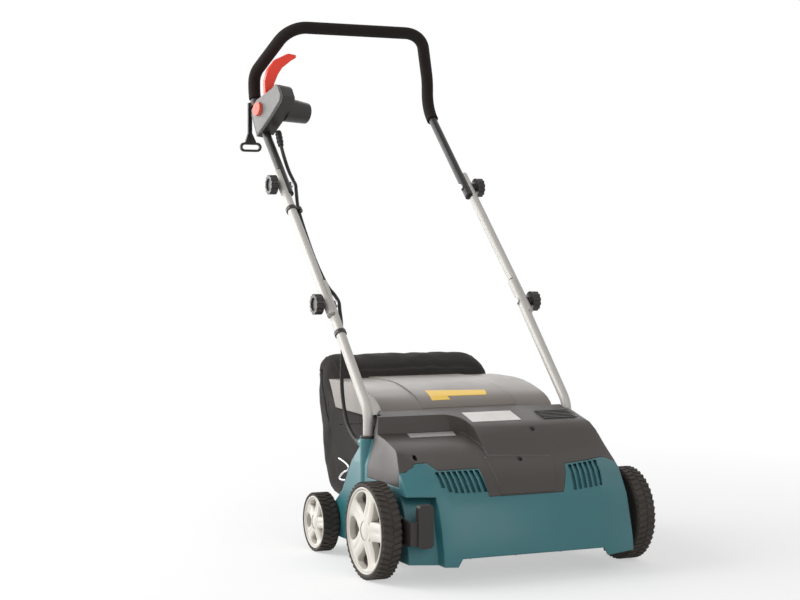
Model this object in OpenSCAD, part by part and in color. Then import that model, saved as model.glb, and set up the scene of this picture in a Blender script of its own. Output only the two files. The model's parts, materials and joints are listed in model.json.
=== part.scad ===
// Electric lawn dethatcher: housing with a blade reel, four wheels, a folding handle,
// a lifting rear flap and a fabric collector. X runs along the axles, Y from the front
// to the rear and Z up from the ground.

/* [Overall] */
// Width over the faces of the front wheels
overall_w = 550; // [530:1:580]
// Distance between the front and rear axles
wheel_base = 288; // [276:1:300]
// Height of the skirt above the ground
skirt_z = 34; // [30:1:40]
// Depth of the frame origin behind the front axle
frame_back = 324; // [300:1:350]

/* [Wheels] */
// Outer diameter of a front wheel
front_wheel_d = 172; // [166:1:176]
// Outer diameter of a rear wheel
rear_wheel_d = 112; // [106:1:116]
// Width of a front tyre
front_tyre_w = 38; // [34:1:40]
// Width of a rear tyre
rear_tyre_w = 32; // [28:1:32]
// Thickness of a front tyre
front_tyre_t = 9; // [7:0.5:12]
// Thickness of a rear tyre
rear_tyre_t = 6; // [5:0.5:9]
// Number of spokes in a wheel
spokes = 5; // [4:1:6]
// Number of tread blocks round a front tyre
tread_blocks = 24; // [16:1:30]
// Diameter of the wheel stubs and of the rear axle
axle_d = 12; // [10:1:14]
// Radial gap of a turning fit
run_gap = 0.05; // [0.02:0.01:0.09]

/* [Housing] */
// Thickness of the moulded walls
wall = 3; // [2.5:0.5:4]
// Angle at which the front flanks sweep back
flank_angle = 22; // [20:1:24]
// Height of the raised middle of the front lip above the skirt
lip_lift = 14; // [8:1:20]
// Gap between the housing and the top cover
split_gap = 0.4; // [0.3:0.1:0.8]
// Number of vent slots in the left group
vents_left = 8; // [5:1:8]
// Number of vent slots in the right group
vents_right = 6; // [4:1:6]
// Width of one vent slot
vent_w = 7.6; // [5:0.2:8.4]

/* [Reel] */
// Number of blades on the reel
blade_count = 18; // [10:1:18]
// Spacing of the blades
blade_pitch = 19; // [16:0.5:19]
// Radius to the blade tips
blade_r = 72; // [62:1:73]
// Thickness of a blade
blade_t = 2; // [1.5:0.5:3]
// Diameter of the reel shaft
reel_shaft_d = 20; // [16:1:24]

/* [Motor] */
// Diameter of the motor case
motor_d = 84; // [76:1:86]
// Length of the motor case
motor_len = 132; // [110:1:140]
// Radius of the motor pulley
motor_pulley_r = 14; // [12:1:18]
// Radius of the reel pulley
reel_pulley_r = 30; // [26:1:36]

/* [Depth setting] */
// Diameter of the cross shaft that carries the front wheels
cross_shaft_d = 12; // [10:1:12]
// Height of the grip on the depth lever
lever_grip_h = 76; // [64:1:80]
// Width of the grip on the depth lever
lever_grip_w = 29; // [22:1:30]

/* [Handle] */
// Diameter of the lower and middle tubes
tube_d = 19; // [17:0.5:20]
// Diameter of the upper tube
upper_tube_d = 18; // [16:0.5:19]
// Wall of the tubes
tube_wall = 1.5; // [1:0.25:2]
// Lean of the lower tubes from upright
lower_lean = 44.5; // [42:0.5:47]
// Length of a lower tube from its bend to the lower knob
lower_len = 265; // [250:1:290]
// Lean of the middle tubes from upright
middle_lean = 46.8; // [44:0.2:49]
// Distance between the lower and upper knobs
middle_len = 341; // [320:1:380]
// Straight length of the upper tube above the upper knob
upper_len = 225; // [215:1:250]
// Radius of the bend that turns the upper tube upright
upper_bend_r = 86; // [82:1:94]
// Lean of the arms of the grip, forwards from upright
arm_lean = 44; // [38:1:48]
// Turn of the arms of the grip towards the middle
arm_turn = 34; // [28:1:38]
// Straight length of the arms of the grip
arm_len = 75; // [66:1:82]
// Radius of the grip corners
corner_r = 60; // [54:1:66]
// Diameter of the foam grip
grip_d = 26; // [24:1:30]
// Diameter of a knob
knob_d = 40; // [34:1:44]
// Thickness of a knob
knob_t = 20; // [16:1:22]
// Number of flutes round a knob
knob_flutes = 12; // [8:1:14]
// Diameter of a knob bolt
bolt_d = 6; // [5:1:8]

/* [Controls] */
// Depth of the switch box
box_depth = 36; // [34:1:42]
// Outer diameter of the inlet shroud
inlet_d = 52; // [48:1:54]
// Length of the inlet shroud
inlet_len = 56; // [46:1:60]
// Diameter of an inlet pin
inlet_pin_d = 4.8; // [4:0.2:5]
// Diameter of the lock button
button_d = 28; // [22:1:30]
// Travel of the lock button
button_travel = 5; // [3:1:5]

/* [Flap and collector] */
// Length of the rear flap behind its hinge
flap_len = 254; // [240:1:260]
// Thickness of the flap
flap_t = 3; // [2.5:0.5:4]
// Diameter of the flap hinge pin
flap_pin_d = 5; // [4:0.5:6]
// Height of the collector
bag_top_z = 362; // [350:1:375]
// Depth of the collector behind the front axle
bag_rear_y = 506; // [490:1:520]
// Thickness of the collector cloth
cloth_t = 2; // [1.5:0.5:3]
// Diameter of the collector frame rod
rod_d = 6; // [5:0.5:7]

/* [Cable] */
// Diameter of the motor cable
cable_d = 8; // [6:0.5:9]

/* [Hidden] */
$fn = 48;
front_r = front_wheel_d / 2;
rear_r = rear_wheel_d / 2;
arm_space = 17;
half_w = overall_w / 2 - front_tyre_w - arm_space;
kx = half_w / 220;
front_y = -125;
flank_x = 150 * kx;
deck_front = [36, 255];
deck_rear = [127, 280];
deck_angle = atan2(deck_rear[1] - deck_front[1], deck_rear[0] - deck_front[0]);
hump_x = -40 * kx;
tail_y = wheel_base + 18;
side_split_z = 163;
side_panel_y = -30;
shelf_step_y = 101;
shelf_corner_r = 38;
tongue_rise = 1.2;
vent_pitch = 11.2 * kx;
vent_left_x = -160 * kx;
vent_right_x = 108 * kx;
pillar_top_z = 232;
flap_w = 179 * kx;
cover_rear_x = flap_w + 13;
reel_gaps = 17;
reel_end_room = 6.5;
end_plate_x = (reel_gaps / 2 * blade_pitch + reel_end_room) * kx;
end_plate_t = 3;

reel_y = 65;
reel_z = 77;
tunnel_r = 80;
motor_y = 78;
motor_z = 206;
motor_x = 4 * kx;
belt_room = 16;
belt_x = end_plate_x + belt_room * kx;
belt_w = 9;
belt_t = 3;
pulley_w = 13;
pulley_gap = 0.4;

pivot_y = -46;
pivot_z = 100;
stub_z = front_r;
crank_t = 4;
crank_x = half_w + 3;
crank_r = 17;
lever_x = crank_x + crank_t;
lever_t = 4.5;
grip_x = 218 * kx;
grip_y = -108;
grip_depth = 13;
grip_z = 67;
pocket_x = 172 * kx;
pocket_z = 150;
pocket_depth = 22;

tube_x = half_w - 6.5;
lower_x = half_w - 11;
upper_x = half_w - 15;
flat_x = half_w - 10.2;
flat_gap = 0.3;
socket_y = 131;
bend_z = 281;
lower_end = 55;
middle_low_end = 30;
middle_high_end = 38;
upper_end = 28;
flat_extra = 6;
plug_extra = 16;
wall_gap = 0.1;
drain_r = 2;
socket_depth = 60;
knee = [socket_y, bend_z];
joint_low = knee + lower_len * [sin(lower_lean), cos(lower_lean)];
joint_high = joint_low + middle_len * [sin(middle_lean), cos(middle_lean)];
bend_low = joint_high + upper_len * [sin(middle_lean), cos(middle_lean)];
bend_c = bend_low + upper_bend_r * [-cos(middle_lean), sin(middle_lean)];
bend_high = bend_c + [upper_bend_r, 0];
arm_rise = 6;
arm_bend_r = 44;
arm_dir = [-sin(arm_lean), cos(arm_lean)];
arm_bend_end = [arm_bend_r * (cos(arm_lean) - 1), arm_rise + arm_bend_r * sin(arm_lean)];
arm_end = arm_bend_end + arm_len * arm_dir;
loop_x = upper_x + arm_end[0] * sin(arm_turn);
loop_y = bend_high[0] + arm_end[0] * cos(arm_turn);
loop_z = bend_high[1] + arm_end[1];
loop_tilt = atan2(cos(arm_turn) * sin(arm_lean), cos(arm_lean));
corner_from = asin(sin(arm_turn) * sin(arm_lean));
corner_rise = corner_r * (1 - sin(corner_from));
bar_half = loop_x - corner_r * cos(corner_from);
grip_gap = 0.02;
foam_left_angle = 19;
knob_gap = 0.4;
head_d = 14;
head_t = 4;
collar_h = 5;
collar_d = 30;

flap_pin = [138, 272];
flap_skirt = 3;
flap_rise = 2;
barrel_r = 5.5;
bag_w = flap_w - 7;
mouth_top = [172, 250];
mouth_low = [308, 100];

// Shapes shared by the pieces

module placed() {
    translate([0, -frame_back, 0])
        children();
}

// Flat shape in Y and Z drawn out along X
module along_x(x0, x1) {
    translate([x0, 0, 0])
        rotate([90, 0, 90])
            linear_extrude(x1 - x0)
                children();
}

// Flat shape in X and Z drawn out along Y
module along_y(y0, y1) {
    translate([0, y1, 0])
        rotate([90, 0, 0])
            linear_extrude(y1 - y0)
                children();
}

// Round bar along X
module bar_x(x0, x1, y, z, r) {
    translate([x0, y, z])
        rotate([0, 90, 0])
            cylinder(r = r, h = x1 - x0);
}

// Round bar along Y
module bar_y(y0, y1, x, z, r) {
    translate([x, y0, z])
        rotate([-90, 0, 0])
            cylinder(r = r, h = y1 - y0);
}

// Round bar between two points of the plane at a fixed X
module bar_between(x, a, b, r) {
    lean = atan2(b[0] - a[0], b[1] - a[1]);
    translate([x, a[0], a[1]])
        rotate([-lean, 0, 0])
            cylinder(r = r, h = norm(b - a));
}

function arc_points(c, r, a0, a1, n) =
    [for (i = [0 : n]) c + r * [cos(a0 + (a1 - a0) * i / n), sin(a0 + (a1 - a0) * i / n)]];

function unit(v) = v / norm(v);

// Clockwise outline moved inwards by d
function inset(p, d) = [for (i = [0 : len(p) - 1])
    let (n = len(p))
    let (u = unit(p[i] - p[(i + n - 1) % n]), v = unit(p[(i + 1) % n] - p[i]))
    let (a = [u[1], -u[0]], b = [v[1], -v[0]])
    let (m = unit(a + b))
    p[i] + m * d / (m * a)];

// Housing and cover

front_line = [[front_y, 47], [-122, 70], [-115, 95], [-107, 117], [-97, 137], [-82, 158],
    [-64, 178], [-45, 192], [-30, 202]];
hump_line = [[-8, 219], [16, 240], deck_front, deck_rear];
shelf_line = [[10, 226], [60, 237], [shelf_step_y - 6, 242.5],
    [shelf_step_y, deck_rear[1] - (deck_rear[0] - shelf_step_y) * tan(deck_angle)], deck_rear];
rear_line = [[131, 276], [131, 264], [150, 228], [227, 124], [tail_y, 64]];
flank_line = [[0, 35], [3.4, 60], [10, 87], [17.3, 113], [23.8, 134], [36.8, 156], [49.8, 177],
    [63.7, 189], [73.9, 199], [90.6, 217], [111, 241], [125, 254.5], [160, 300]];

function body_line(top, rear, low) = concat([[front_y, low]], front_line, top, rear, [[tail_y, low]]);

module flank(side, d) {
    line = concat([[0, -60]], flank_line, [[900, 300], [900, -60]]);
    translate([side * flank_x, front_y, 0])
        rotate([0, 0, side * flank_angle])
            along_x(-700, 700)
                polygon(inset(line, d));
}

module end_taper(d) {
    along_y(-300, 500)
        polygon([[-half_w + d, -60], [-half_w + d, 185], [-half_w + 14 + d, 242], [-half_w + 22 + d, 300],
            [half_w - 26 - d, 300], [half_w - 17 - d, 258], [half_w - d, 190], [half_w - d, -60]]);
}

module lever_pocket(d) {
    intersection() {
        translate([-half_w - 80, -300, -60])
            cube([half_w + 80 - pocket_x + d, 400, pocket_z + 60 + d]);
        difference() {
            translate([-half_w - 90, -310, -70])
                cube([2 * half_w, 420, pocket_z + 100]);
            flank(-1, pocket_depth + d);
        }
    }
}

module body_solid(d, low) {
    difference() {
        intersection() {
            union() {
                along_x(hump_x + d, half_w - d)
                    polygon(inset(body_line(hump_line, rear_line, low), d));
                along_x(-half_w + d, hump_x + 2 * d)
                    polygon(inset(body_line(shelf_line, rear_line, low), d));
            }
            flank(1, d);
            flank(-1, d);
            end_taper(d);
        }
        lever_pocket(d);
    }
}

// Rounded inner corner where the shelf meets the hump
module shelf_corner() {
    intersection() {
        along_x(hump_x - shelf_corner_r, hump_x + 1)
            polygon(body_line(hump_line, rear_line, skirt_z));
        translate([hump_x - shelf_corner_r, shelf_step_y - shelf_corner_r, 200])
            difference() {
                cube([shelf_corner_r + 1, shelf_corner_r + 2, 120]);
                translate([0, 0, -1])
                    cylinder(r = shelf_corner_r, h = 122);
            }
    }
}

// Raised middle of the tongue at the front
module tongue_panel() {
    intersection() {
        difference() {
            along_x(-60 * kx, 100 * kx)
                polygon(inset(body_line(hump_line, rear_line, skirt_z), -tongue_rise));
            body_solid(wall / 2, -40);
        }
        along_y(-200, 40)
            polygon([[-48 * kx, 211], [84 * kx, 205], [61 * kx, 150], [-48 * kx, 150]]);
    }
}

module body_shell() {
    difference() {
        union() {
            body_solid(0, skirt_z);
            shelf_corner();
        }
        body_solid(wall, -40);
    }
}

// Space taken by the top cover, drawn back by a gap
module cover_space(g) {
    along_y(-200, 108 - g)
        polygon([[-half_w - 20, 189 + g], [-209 * kx, 189 + g], [-186 * kx, 203 + g], [-166 * kx, 203 + g],
            [-152 * kx, 191 + g], [-72 * kx + g, 191 + g], [-73 * kx + g, 147 + g], [77 * kx - g, 147 + g],
            [104 * kx - g, 191 + g], [150 * kx, 194 + g], [178 * kx, 197 + g], [half_w + 20, 197 + g],
            [half_w + 20, 320], [-half_w - 20, 320]]);
    for (side = [-1, 1])
        translate([side > 0 ? cover_rear_x + g : -half_w - 20, side_panel_y + g, side_split_z + g])
            cube([half_w + 20 - cover_rear_x - g, 108 - side_panel_y - 2 * g, 150]);
    translate([-cover_rear_x + g, 100, 228 + g])
        cube([2 * (cover_rear_x - g), 70, 100]);
}

// One leaning slot between two heights
module vent_slot(x, top, low, lean) {
    along_y(-140, -10)
        polygon([[x, top], [x + vent_w, top], [x + vent_w + lean, low], [x + lean, low]]);
}

module vent_slots() {
    for (i = [0 : vents_left - 1])
        vent_slot(vent_left_x + i * vent_pitch, 189, 155 + 10 * pow(0.3, i), 1);
    for (i = [0 : vents_right - 1])
        vent_slot(vent_right_x + i * vent_pitch, 189 + 0.9 * i, 149 + 0.9 * i, -10);
}

module tunnel() {
    along_x(-end_plate_x, end_plate_x)
        difference() {
            translate([reel_y, reel_z])
                circle(r = tunnel_r + wall);
            translate([reel_y, reel_z])
                circle(r = tunnel_r);
            polygon([[reel_y, reel_z], [reel_y + 200, reel_z + 130], [reel_y + 200, -60],
                [reel_y - 200, -60],
                [reel_y - 200, skirt_z + 8], [reel_y - 60, skirt_z + 8]]);
        }
}

module end_plates() {
    intersection() {
        body_solid(wall / 2, -40);
        for (side = [-1, 1])
            along_x(side * (end_plate_x + end_plate_t / 2) - end_plate_t / 2,
                side * (end_plate_x + end_plate_t / 2) + end_plate_t / 2)
                polygon([[-118, skirt_z + 12], [-118, 120], [-60, 150], [0, 172], [130, 172], [190, 172],
                    [250, 90], [250, skirt_z + 4], [-60, skirt_z + 4]]);
    }
}

module motor_cradle() {
    for (x = [motor_x + 14, motor_x + motor_len - 20])
        along_x(x, x + 6)
            difference() {
                polygon([[motor_y - 40, reel_z + 60], [motor_y - 34, motor_z - 16], [motor_y + 34,
                    motor_z - 16],
                    [motor_y + 30, reel_z + 60]]);
                translate([motor_y, motor_z])
                    circle(r = motor_d / 2 + 0.3);
                translate([reel_y, reel_z])
                    circle(r = tunnel_r + wall / 2);
            }
}

module rear_apron() {
    along_x(-end_plate_x - 1, end_plate_x + 1)
        polygon([[160, skirt_z + 2], [tail_y - 4, 84], [tail_y - 4, 87], [160, skirt_z + 5]]);
}

module pillars() {
    for (side = [-1, 1])
        translate([side * lower_x, socket_y, skirt_z + 40])
            cylinder(r = 15, h = pillar_top_z - skirt_z - 40);
}

module lower_housing() {
    color([0.2, 0.42, 0.44])
    placed()
        difference() {
            union() {
                difference() {
                    body_shell();
                    cover_space(0);
                    for (side = [-1, 1])
                        translate([side > 0 ? cover_rear_x : -half_w - 20, 100, pillar_top_z])
                            cube([half_w + 20 - cover_rear_x, 80, 100]);
                    translate([-end_plate_x + 4, 140, 96])
                        cube([2 * end_plate_x - 8, 200, 120]);
                    translate([-end_plate_x + 4, tail_y - wall - 1, 0])
                        cube([2 * end_plate_x - 8, 40, 100]);
                    along_y(-200, -60)
                        polygon([[-150 * kx, 0], [-150 * kx, skirt_z], [-141 * kx, skirt_z + lip_lift],
                            [141 * kx, skirt_z + lip_lift], [150 * kx, skirt_z], [150 * kx, 0]]);
                    vent_slots();
                }
                tunnel();
                end_plates();
                motor_cradle();
                rear_apron();
                pillars();
                bar_y(gland_at[1] - 20, gland_at[1], gland_at[0], gland_at[2], 9.5);
                for (side = [-1, 1]) {
                    bar_x(side * (half_w - 8) - 8, side * (half_w - 8) + 8, pivot_y, pivot_z, 11);
                    bar_x(side * (half_w - 7) - 7, side * (half_w - 7) + 7, wheel_base, rear_r, 13);
                }
            }
            for (side = [-1, 1]) {
                translate([side * lower_x, socket_y, pillar_top_z - socket_depth])
                    cylinder(r = tube_d / 2 + 0.1, h = socket_depth + 20);
                bar_x(side * end_plate_x - 12, side * end_plate_x + 12, reel_y, reel_z, 21.05);
            }
            bar_x(-half_w - 20, half_w + 20, pivot_y, pivot_z, cross_shaft_d / 2 + run_gap);
            bar_x(-half_w - 20, half_w + 20, wheel_base, rear_r, axle_d / 2 + run_gap);
        }
}

screw_spots = [[-182, 211, -2], [19, 203, -29], [76, 249, 28]];

module top_cover() {
    color([0.24, 0.22, 0.21])
    placed()
        difference() {
            union() {
                intersection() {
                    body_shell();
                    cover_space(split_gap);
                }
                tongue_panel();
                intersection() {
                    body_solid(0, skirt_z);
                    for (s = screw_spots)
                        bar_y(s[2] - 20, s[2] + 16, s[0] * kx, s[1], 7);
                }
                for (side = [-1, 1])
                    along_x(side * (flap_w + 4) - 2.5, side * (flap_w + 4) + 2.5)
                        difference() {
                            polygon([[126, 262], [126, 277], [131, 279], [142, 278], [144, 270],
                                [140, 266], [133, 258]]);
                            translate(flap_pin)
                                circle(r = flap_pin_d / 2 + run_gap);
                        }
            }
            for (s = screw_spots) {
                bar_y(s[2] - 40, s[2] + 3, s[0] * kx, s[1], 4.6);
                bar_y(s[2], s[2] + 30, s[0] * kx, s[1], 2.1);
            }
            for (i = [0 : 4])
                translate([122 * kx, 61 + i * 8.5, 248])
                    cube([72 * kx, 4.5, 50]);
            translate([20 * kx, 82, 0])
                translate([0, 0, deck_front[1] + (82 - deck_front[0]) * tan(deck_angle)])
                    rotate([deck_angle, 0, 0])
                        translate([-51 * kx, -24, -1])
                            cube([102 * kx, 48, 10]);
        }
}

module badge_plate() {
    color([0.82, 0.82, 0.8])
    placed()
        translate([20 * kx, 82, deck_front[1] + (82 - deck_front[0]) * tan(deck_angle)])
            rotate([deck_angle, 0, 0])
                translate([-50.6 * kx, -23.6, -1])
                    cube([101.2 * kx, 47.2, 1.8]);
}

module cover_screws() {
    color([0.15, 0.15, 0.15])
    placed()
        for (s = screw_spots)
            difference() {
                union() {
                    bar_y(s[2], s[2] + 3, s[0] * kx, s[1], 4.2);
                    bar_y(s[2] + 2, s[2] + 14, s[0] * kx, s[1], 1.9);
                }
                translate([s[0] * kx - 3, s[2] - 1, s[1] - 0.5])
                    cube([6, 2, 1]);
                translate([s[0] * kx - 0.5, s[2] - 1, s[1] - 3])
                    cube([1, 2, 6]);
            }
}

// Motor and belt

module motor_case() {
    color([0.35, 0.35, 0.37])
    placed()
        translate([motor_x, motor_y, motor_z])
            rotate([0, 90, 0])
                difference() {
                    cylinder(r = motor_d / 2, h = motor_len);
                    translate([0, 0, 5])
                        cylinder(r = motor_d / 2 - 9, h = motor_len - 10);
                    translate([0, 0, -1])
                        cylinder(r = 6 + run_gap, h = motor_len + 2);
                    for (a = [0 : 60 : 300])
                        rotate([0, 0, a])
                            translate([motor_d / 2 - 18, 0, motor_len - 8])
                                cylinder(r = 5, h = 20);
                }
}

module motor_rotor() {
    color([0.55, 0.5, 0.42])
    placed()
        translate([motor_x, motor_y, motor_z])
            rotate([0, 90, 0]) {
                translate([0, 0, -5])
                    cylinder(r = 6, h = belt_x + 9 - motor_x);
                translate([0, 0, 30])
                    cylinder(r = 25, h = 60);
                translate([0, 0, 12])
                    cylinder(r = 13, h = 16);
                translate([0, 0, 98])
                    cylinder(r = 14, h = 16);
                for (a = [0 : 40 : 320])
                    rotate([0, 0, a])
                        translate([10, -1, 100])
                            cube([20, 2, 12]);
            }
}

module pulley(r) {
    difference() {
        cylinder(r = r + 2, h = pulley_w, center = true);
        difference() {
            cylinder(r = r + 5, h = belt_w + 0.8, center = true);
            cylinder(r = r, h = belt_w + 2, center = true);
        }
    }
}

module motor_pulley() {
    color([0.5, 0.5, 0.52])
    placed()
        translate([belt_x, motor_y, motor_z])
            rotate([0, 90, 0])
                difference() {
                    pulley(motor_pulley_r);
                    cylinder(r = 6, h = 40, center = true);
                }
}

module reel_pulley() {
    color([0.5, 0.5, 0.52])
    placed()
        translate([belt_x, reel_y, reel_z])
            rotate([0, 90, 0])
                difference() {
                    pulley(reel_pulley_r);
                    cylinder(r = 8, h = 40, center = true);
                    for (a = [0 : 72 : 288])
                        rotate([0, 0, a])
                            translate([reel_pulley_r * 0.6, 0, 0])
                                cylinder(r = 5, h = 40, center = true);
                }
}

// Outline of a loop laid round both pulleys
function loop_points(r0, r1) =
    let (d = [motor_y, motor_z] - [reel_y, reel_z])
    let (t = atan2(d[1], d[0]), s = acos((r0 - r1) / norm(d)))
    concat(arc_points([reel_y, reel_z], r0, t + s, t + 360 - s, 30),
        arc_points([motor_y, motor_z], r1, t - s, t + s, 18));

module drive_belt() {
    color([0.1, 0.1, 0.1])
    placed()
        along_x(belt_x - belt_w / 2, belt_x + belt_w / 2)
            difference() {
                polygon(loop_points(reel_pulley_r + pulley_gap + belt_t,
                    motor_pulley_r + pulley_gap + belt_t));
                polygon(loop_points(reel_pulley_r + pulley_gap, motor_pulley_r + pulley_gap));
            }
}

// Reel

module reel_shaft() {
    color([0.6, 0.6, 0.62])
    placed() {
        bar_x(-end_plate_x + 10, end_plate_x - 10, reel_y, reel_z, reel_shaft_d / 2);
        bar_x(-end_plate_x - 14, belt_x + 9, reel_y, reel_z, 8);
    }
}

// Flat two ended blade with a hooked tip at either end
module blade_shape() {
    half = [[-18, 10], [-12, 18], [-9, blade_r - 22], [-14, blade_r - 8], [-10, blade_r - 1],
        [-4, blade_r - 1],
        [4, blade_r - 12], [9, blade_r - 26], [12, 18], [18, 10]];
    difference() {
        union() {
            circle(r = reel_shaft_d / 2 + 10);
            for (a = [0, 180])
                rotate(a)
                    polygon(half);
        }
        circle(r = reel_shaft_d / 2 + 0.02);
    }
}

module reel_blades() {
    color([0.62, 0.62, 0.64])
    placed()
        translate([0, reel_y, reel_z])
            for (i = [0 : blade_count - 1])
                translate([(i - (blade_count - 1) / 2) * blade_pitch * kx, 0, 0])
                    rotate([i * 36 + 108, 0, 0])
                        along_x(-blade_t / 2, blade_t / 2)
                            blade_shape();
}

module reel_spacers() {
    color([0.42, 0.42, 0.44])
    placed()
        translate([0, reel_y, reel_z])
            for (i = [0 : blade_count - 2])
                translate([(i + 0.5 - (blade_count - 1) / 2) * blade_pitch * kx, 0, 0])
                    rotate([0, 90, 0])
                        difference() {
                            cylinder(r = reel_shaft_d / 2 + 5, h = blade_pitch * kx - blade_t - 0.1,
                                center = true);
                            cylinder(r = reel_shaft_d / 2 + 0.02, h = 60, center = true);
                        }
}

module reel_bearings() {
    color([0.7, 0.7, 0.72])
    placed()
        for (side = [-1, 1])
            translate([side * (end_plate_x + end_plate_t / 2), reel_y, reel_z])
                rotate([0, 90, 0])
                    difference() {
                        cylinder(r = 21, h = 12, center = true);
                        cylinder(r = 8 + run_gap, h = 30, center = true);
                    }
}

// Front axle and depth setting

module crank_shape(r0, r1) {
    a = [pivot_y, pivot_z];
    b = [0, stub_z];
    t = atan2(b[1] - a[1], b[0] - a[0]);
    s = acos((r0 - r1) / norm(b - a));
    polygon(concat(arc_points(a, r0, t + s, t + 360 - s, 20), arc_points(b, r1, t - s, t + s, 20)));
}

module front_axle() {
    color([0.5, 0.5, 0.52])
    placed() {
        bar_x(-crank_x - crank_t, crank_x + crank_t, pivot_y, pivot_z, cross_shaft_d / 2);
        for (side = [-1, 1]) {
            along_x(side * (crank_x + crank_t / 2) - crank_t / 2,
                side * (crank_x + crank_t / 2) + crank_t / 2)
                crank_shape(crank_r, crank_r);
            bar_x(side > 0 ? crank_x : -overall_w / 2 + 3, side > 0 ? overall_w / 2 - 3 : -crank_x,
                0, stub_z, axle_d / 2);
        }
    }
}

module depth_lever() {
    grip_low = grip_z;
    grip_high = grip_z + lever_grip_h;
    color([0.2, 0.18, 0.17])
    placed() {
        along_x(-lever_x - lever_t, -lever_x)
            difference() {
                union() {
                    polygon([[grip_y + 4, 72], [grip_y + 4, 113], [pivot_y, pivot_z + crank_r],
                        [4, stub_z + crank_r], [14, stub_z], [4, stub_z - crank_r], [pivot_y, 68]]);
                    translate([0, stub_z])
                        circle(r = crank_r);
                }
                translate([0, stub_z])
                    circle(r = axle_d / 2 + 0.1);
            }
        translate([-lever_x - lever_t, grip_y + 4, 72])
            cube([lever_x + lever_t - grip_x + 4, 12, 41]);
        translate([-grip_x + lever_grip_w / 2, 0, 0])
            along_y(grip_y, grip_y + grip_depth)
                polygon(concat(
                    arc_points([lever_grip_w / 2 - 8, grip_high - 8], 8, 0, 90, 6),
                    arc_points([-lever_grip_w / 2 + 8, grip_high - 8], 8, 90, 180, 6),
                    arc_points([-lever_grip_w / 2 + 8, grip_low + 8], 8, 180, 270, 6),
                    arc_points([lever_grip_w / 2 - 8, grip_low + 8], 8, 270, 360, 6)));
    }
}

// Wheels, drawn with the outer face up

function window_points(r0, r1, a) = concat(
    arc_points([0, 0], r1, -a, a, 8),
    arc_points([0, 0], r0, a * 0.62, -a * 0.62, 6));

module rim(r, w, tyre_t, hub_r, bore_r) {
    ring = r - tyre_t;
    difference() {
        union() {
            translate([0, 0, 3])
                difference() {
                    cylinder(r = ring, h = w - 3, $fn = 96);
                    translate([0, 0, -1])
                        cylinder(r = ring - rim_wall, h = w, $fn = 96);
                }
            translate([0, 0, w - web_dish - web_t])
                difference() {
                    cylinder(r = ring - rim_wall + 1, h = web_t, $fn = 96);
                    for (i = [0 : spokes - 1])
                        rotate([0, 0, i * 360 / spokes + 18])
                            translate([0, 0, -1])
                                linear_extrude(web_t + 2)
                                    polygon(window_points(hub_r + 5, ring - rim_wall - 3, 120 / spokes));
                }
            translate([0, 0, 2])
                cylinder(r = hub_r, h = w - 4);
        }
        translate([0, 0, -1])
            cylinder(r = bore_r, h = w + 2);
    }
}

module tyre(r, w, tyre_t, blocks) {
    inner = r - tyre_t + 0.02;
    difference() {
        rotate_extrude($fn = 96)
            polygon([[inner, 1], [r - 4, 1], [r - 1, 3], [r, 7], [r, w - 7], [r - 1, w - 2.5],
                [r - 4, w - 0.5],
                [inner, w - 0.5]]);
        for (i = [0 : blocks - 1])
            for (k = [0, 1])
                rotate([0, 0, (i + k * 0.5) * 360 / blocks])
                    translate([r - 2.4, -2, k == 0 ? -1 : w * 0.58])
                        cube([10, 4, w * 0.42 + 1]);
    }
}

module on_axle(side, face, y, z, w) {
    translate([side * face, y, z])
        mirror([side > 0 ? 0 : 1, 0, 0])
            rotate([0, 90, 0])
                translate([0, 0, -w])
                    children();
}

module front_rim(side) {
    color([0.9, 0.88, 0.84])
    placed()
        on_axle(side, overall_w / 2, 0, front_r, front_tyre_w)
            rim(front_r, front_tyre_w, front_tyre_t, 18, axle_d / 2 + run_gap);
}

module front_tyre(side) {
    color([0.27, 0.25, 0.24])
    placed()
        on_axle(side, overall_w / 2, 0, front_r, front_tyre_w)
            tyre(front_r, front_tyre_w, front_tyre_t, tread_blocks);
}

rear_face = overall_w / 2 - 21;
rim_wall = 4.5;
web_dish = 5;
web_t = 6;

module rear_rim(side) {
    color([0.9, 0.88, 0.84])
    placed()
        on_axle(side, rear_face, wheel_base, rear_r, rear_tyre_w)
            rim(rear_r, rear_tyre_w, rear_tyre_t, 14, axle_d / 2 + run_gap);
}

module rear_tyre(side) {
    color([0.27, 0.25, 0.24])
    placed()
        on_axle(side, rear_face, wheel_base, rear_r, rear_tyre_w)
            tyre(rear_r, rear_tyre_w, rear_tyre_t, round(tread_blocks * 0.7));
}

module front_rim_left() {
    front_rim(-1);
}

module front_rim_right() {
    front_rim(1);
}

module front_tyre_left() {
    front_tyre(-1);
}

module front_tyre_right() {
    front_tyre(1);
}

module rear_rim_left() {
    rear_rim(-1);
}

module rear_rim_right() {
    rear_rim(1);
}

module rear_tyre_left() {
    rear_tyre(-1);
}

module rear_tyre_right() {
    rear_tyre(1);
}

module rear_axle() {
    color([0.55, 0.55, 0.57])
    placed()
        bar_x(-rear_face + 3, rear_face - 3, wheel_base, rear_r, axle_d / 2);
}

// Rear flap

flap_line = [[137, 277.4], [142, 284], [153, 292], [168, 299], [185, 304], [204, 309], [225, 313.5],
    [255, 318], [287, 320.2], [352, 320], [flap_pin[0] + flap_len, 318.5]];

// Band of even thickness under an open line
function band(line, t) = concat(line, [for (i = [len(line) - 1 : -1 : 0])
    let (a = line[max(i - 1, 0)], b = line[min(i + 1, len(line) - 1)])
    line[i] + t * unit([(b - a)[1], -(b - a)[0]])]);

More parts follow.
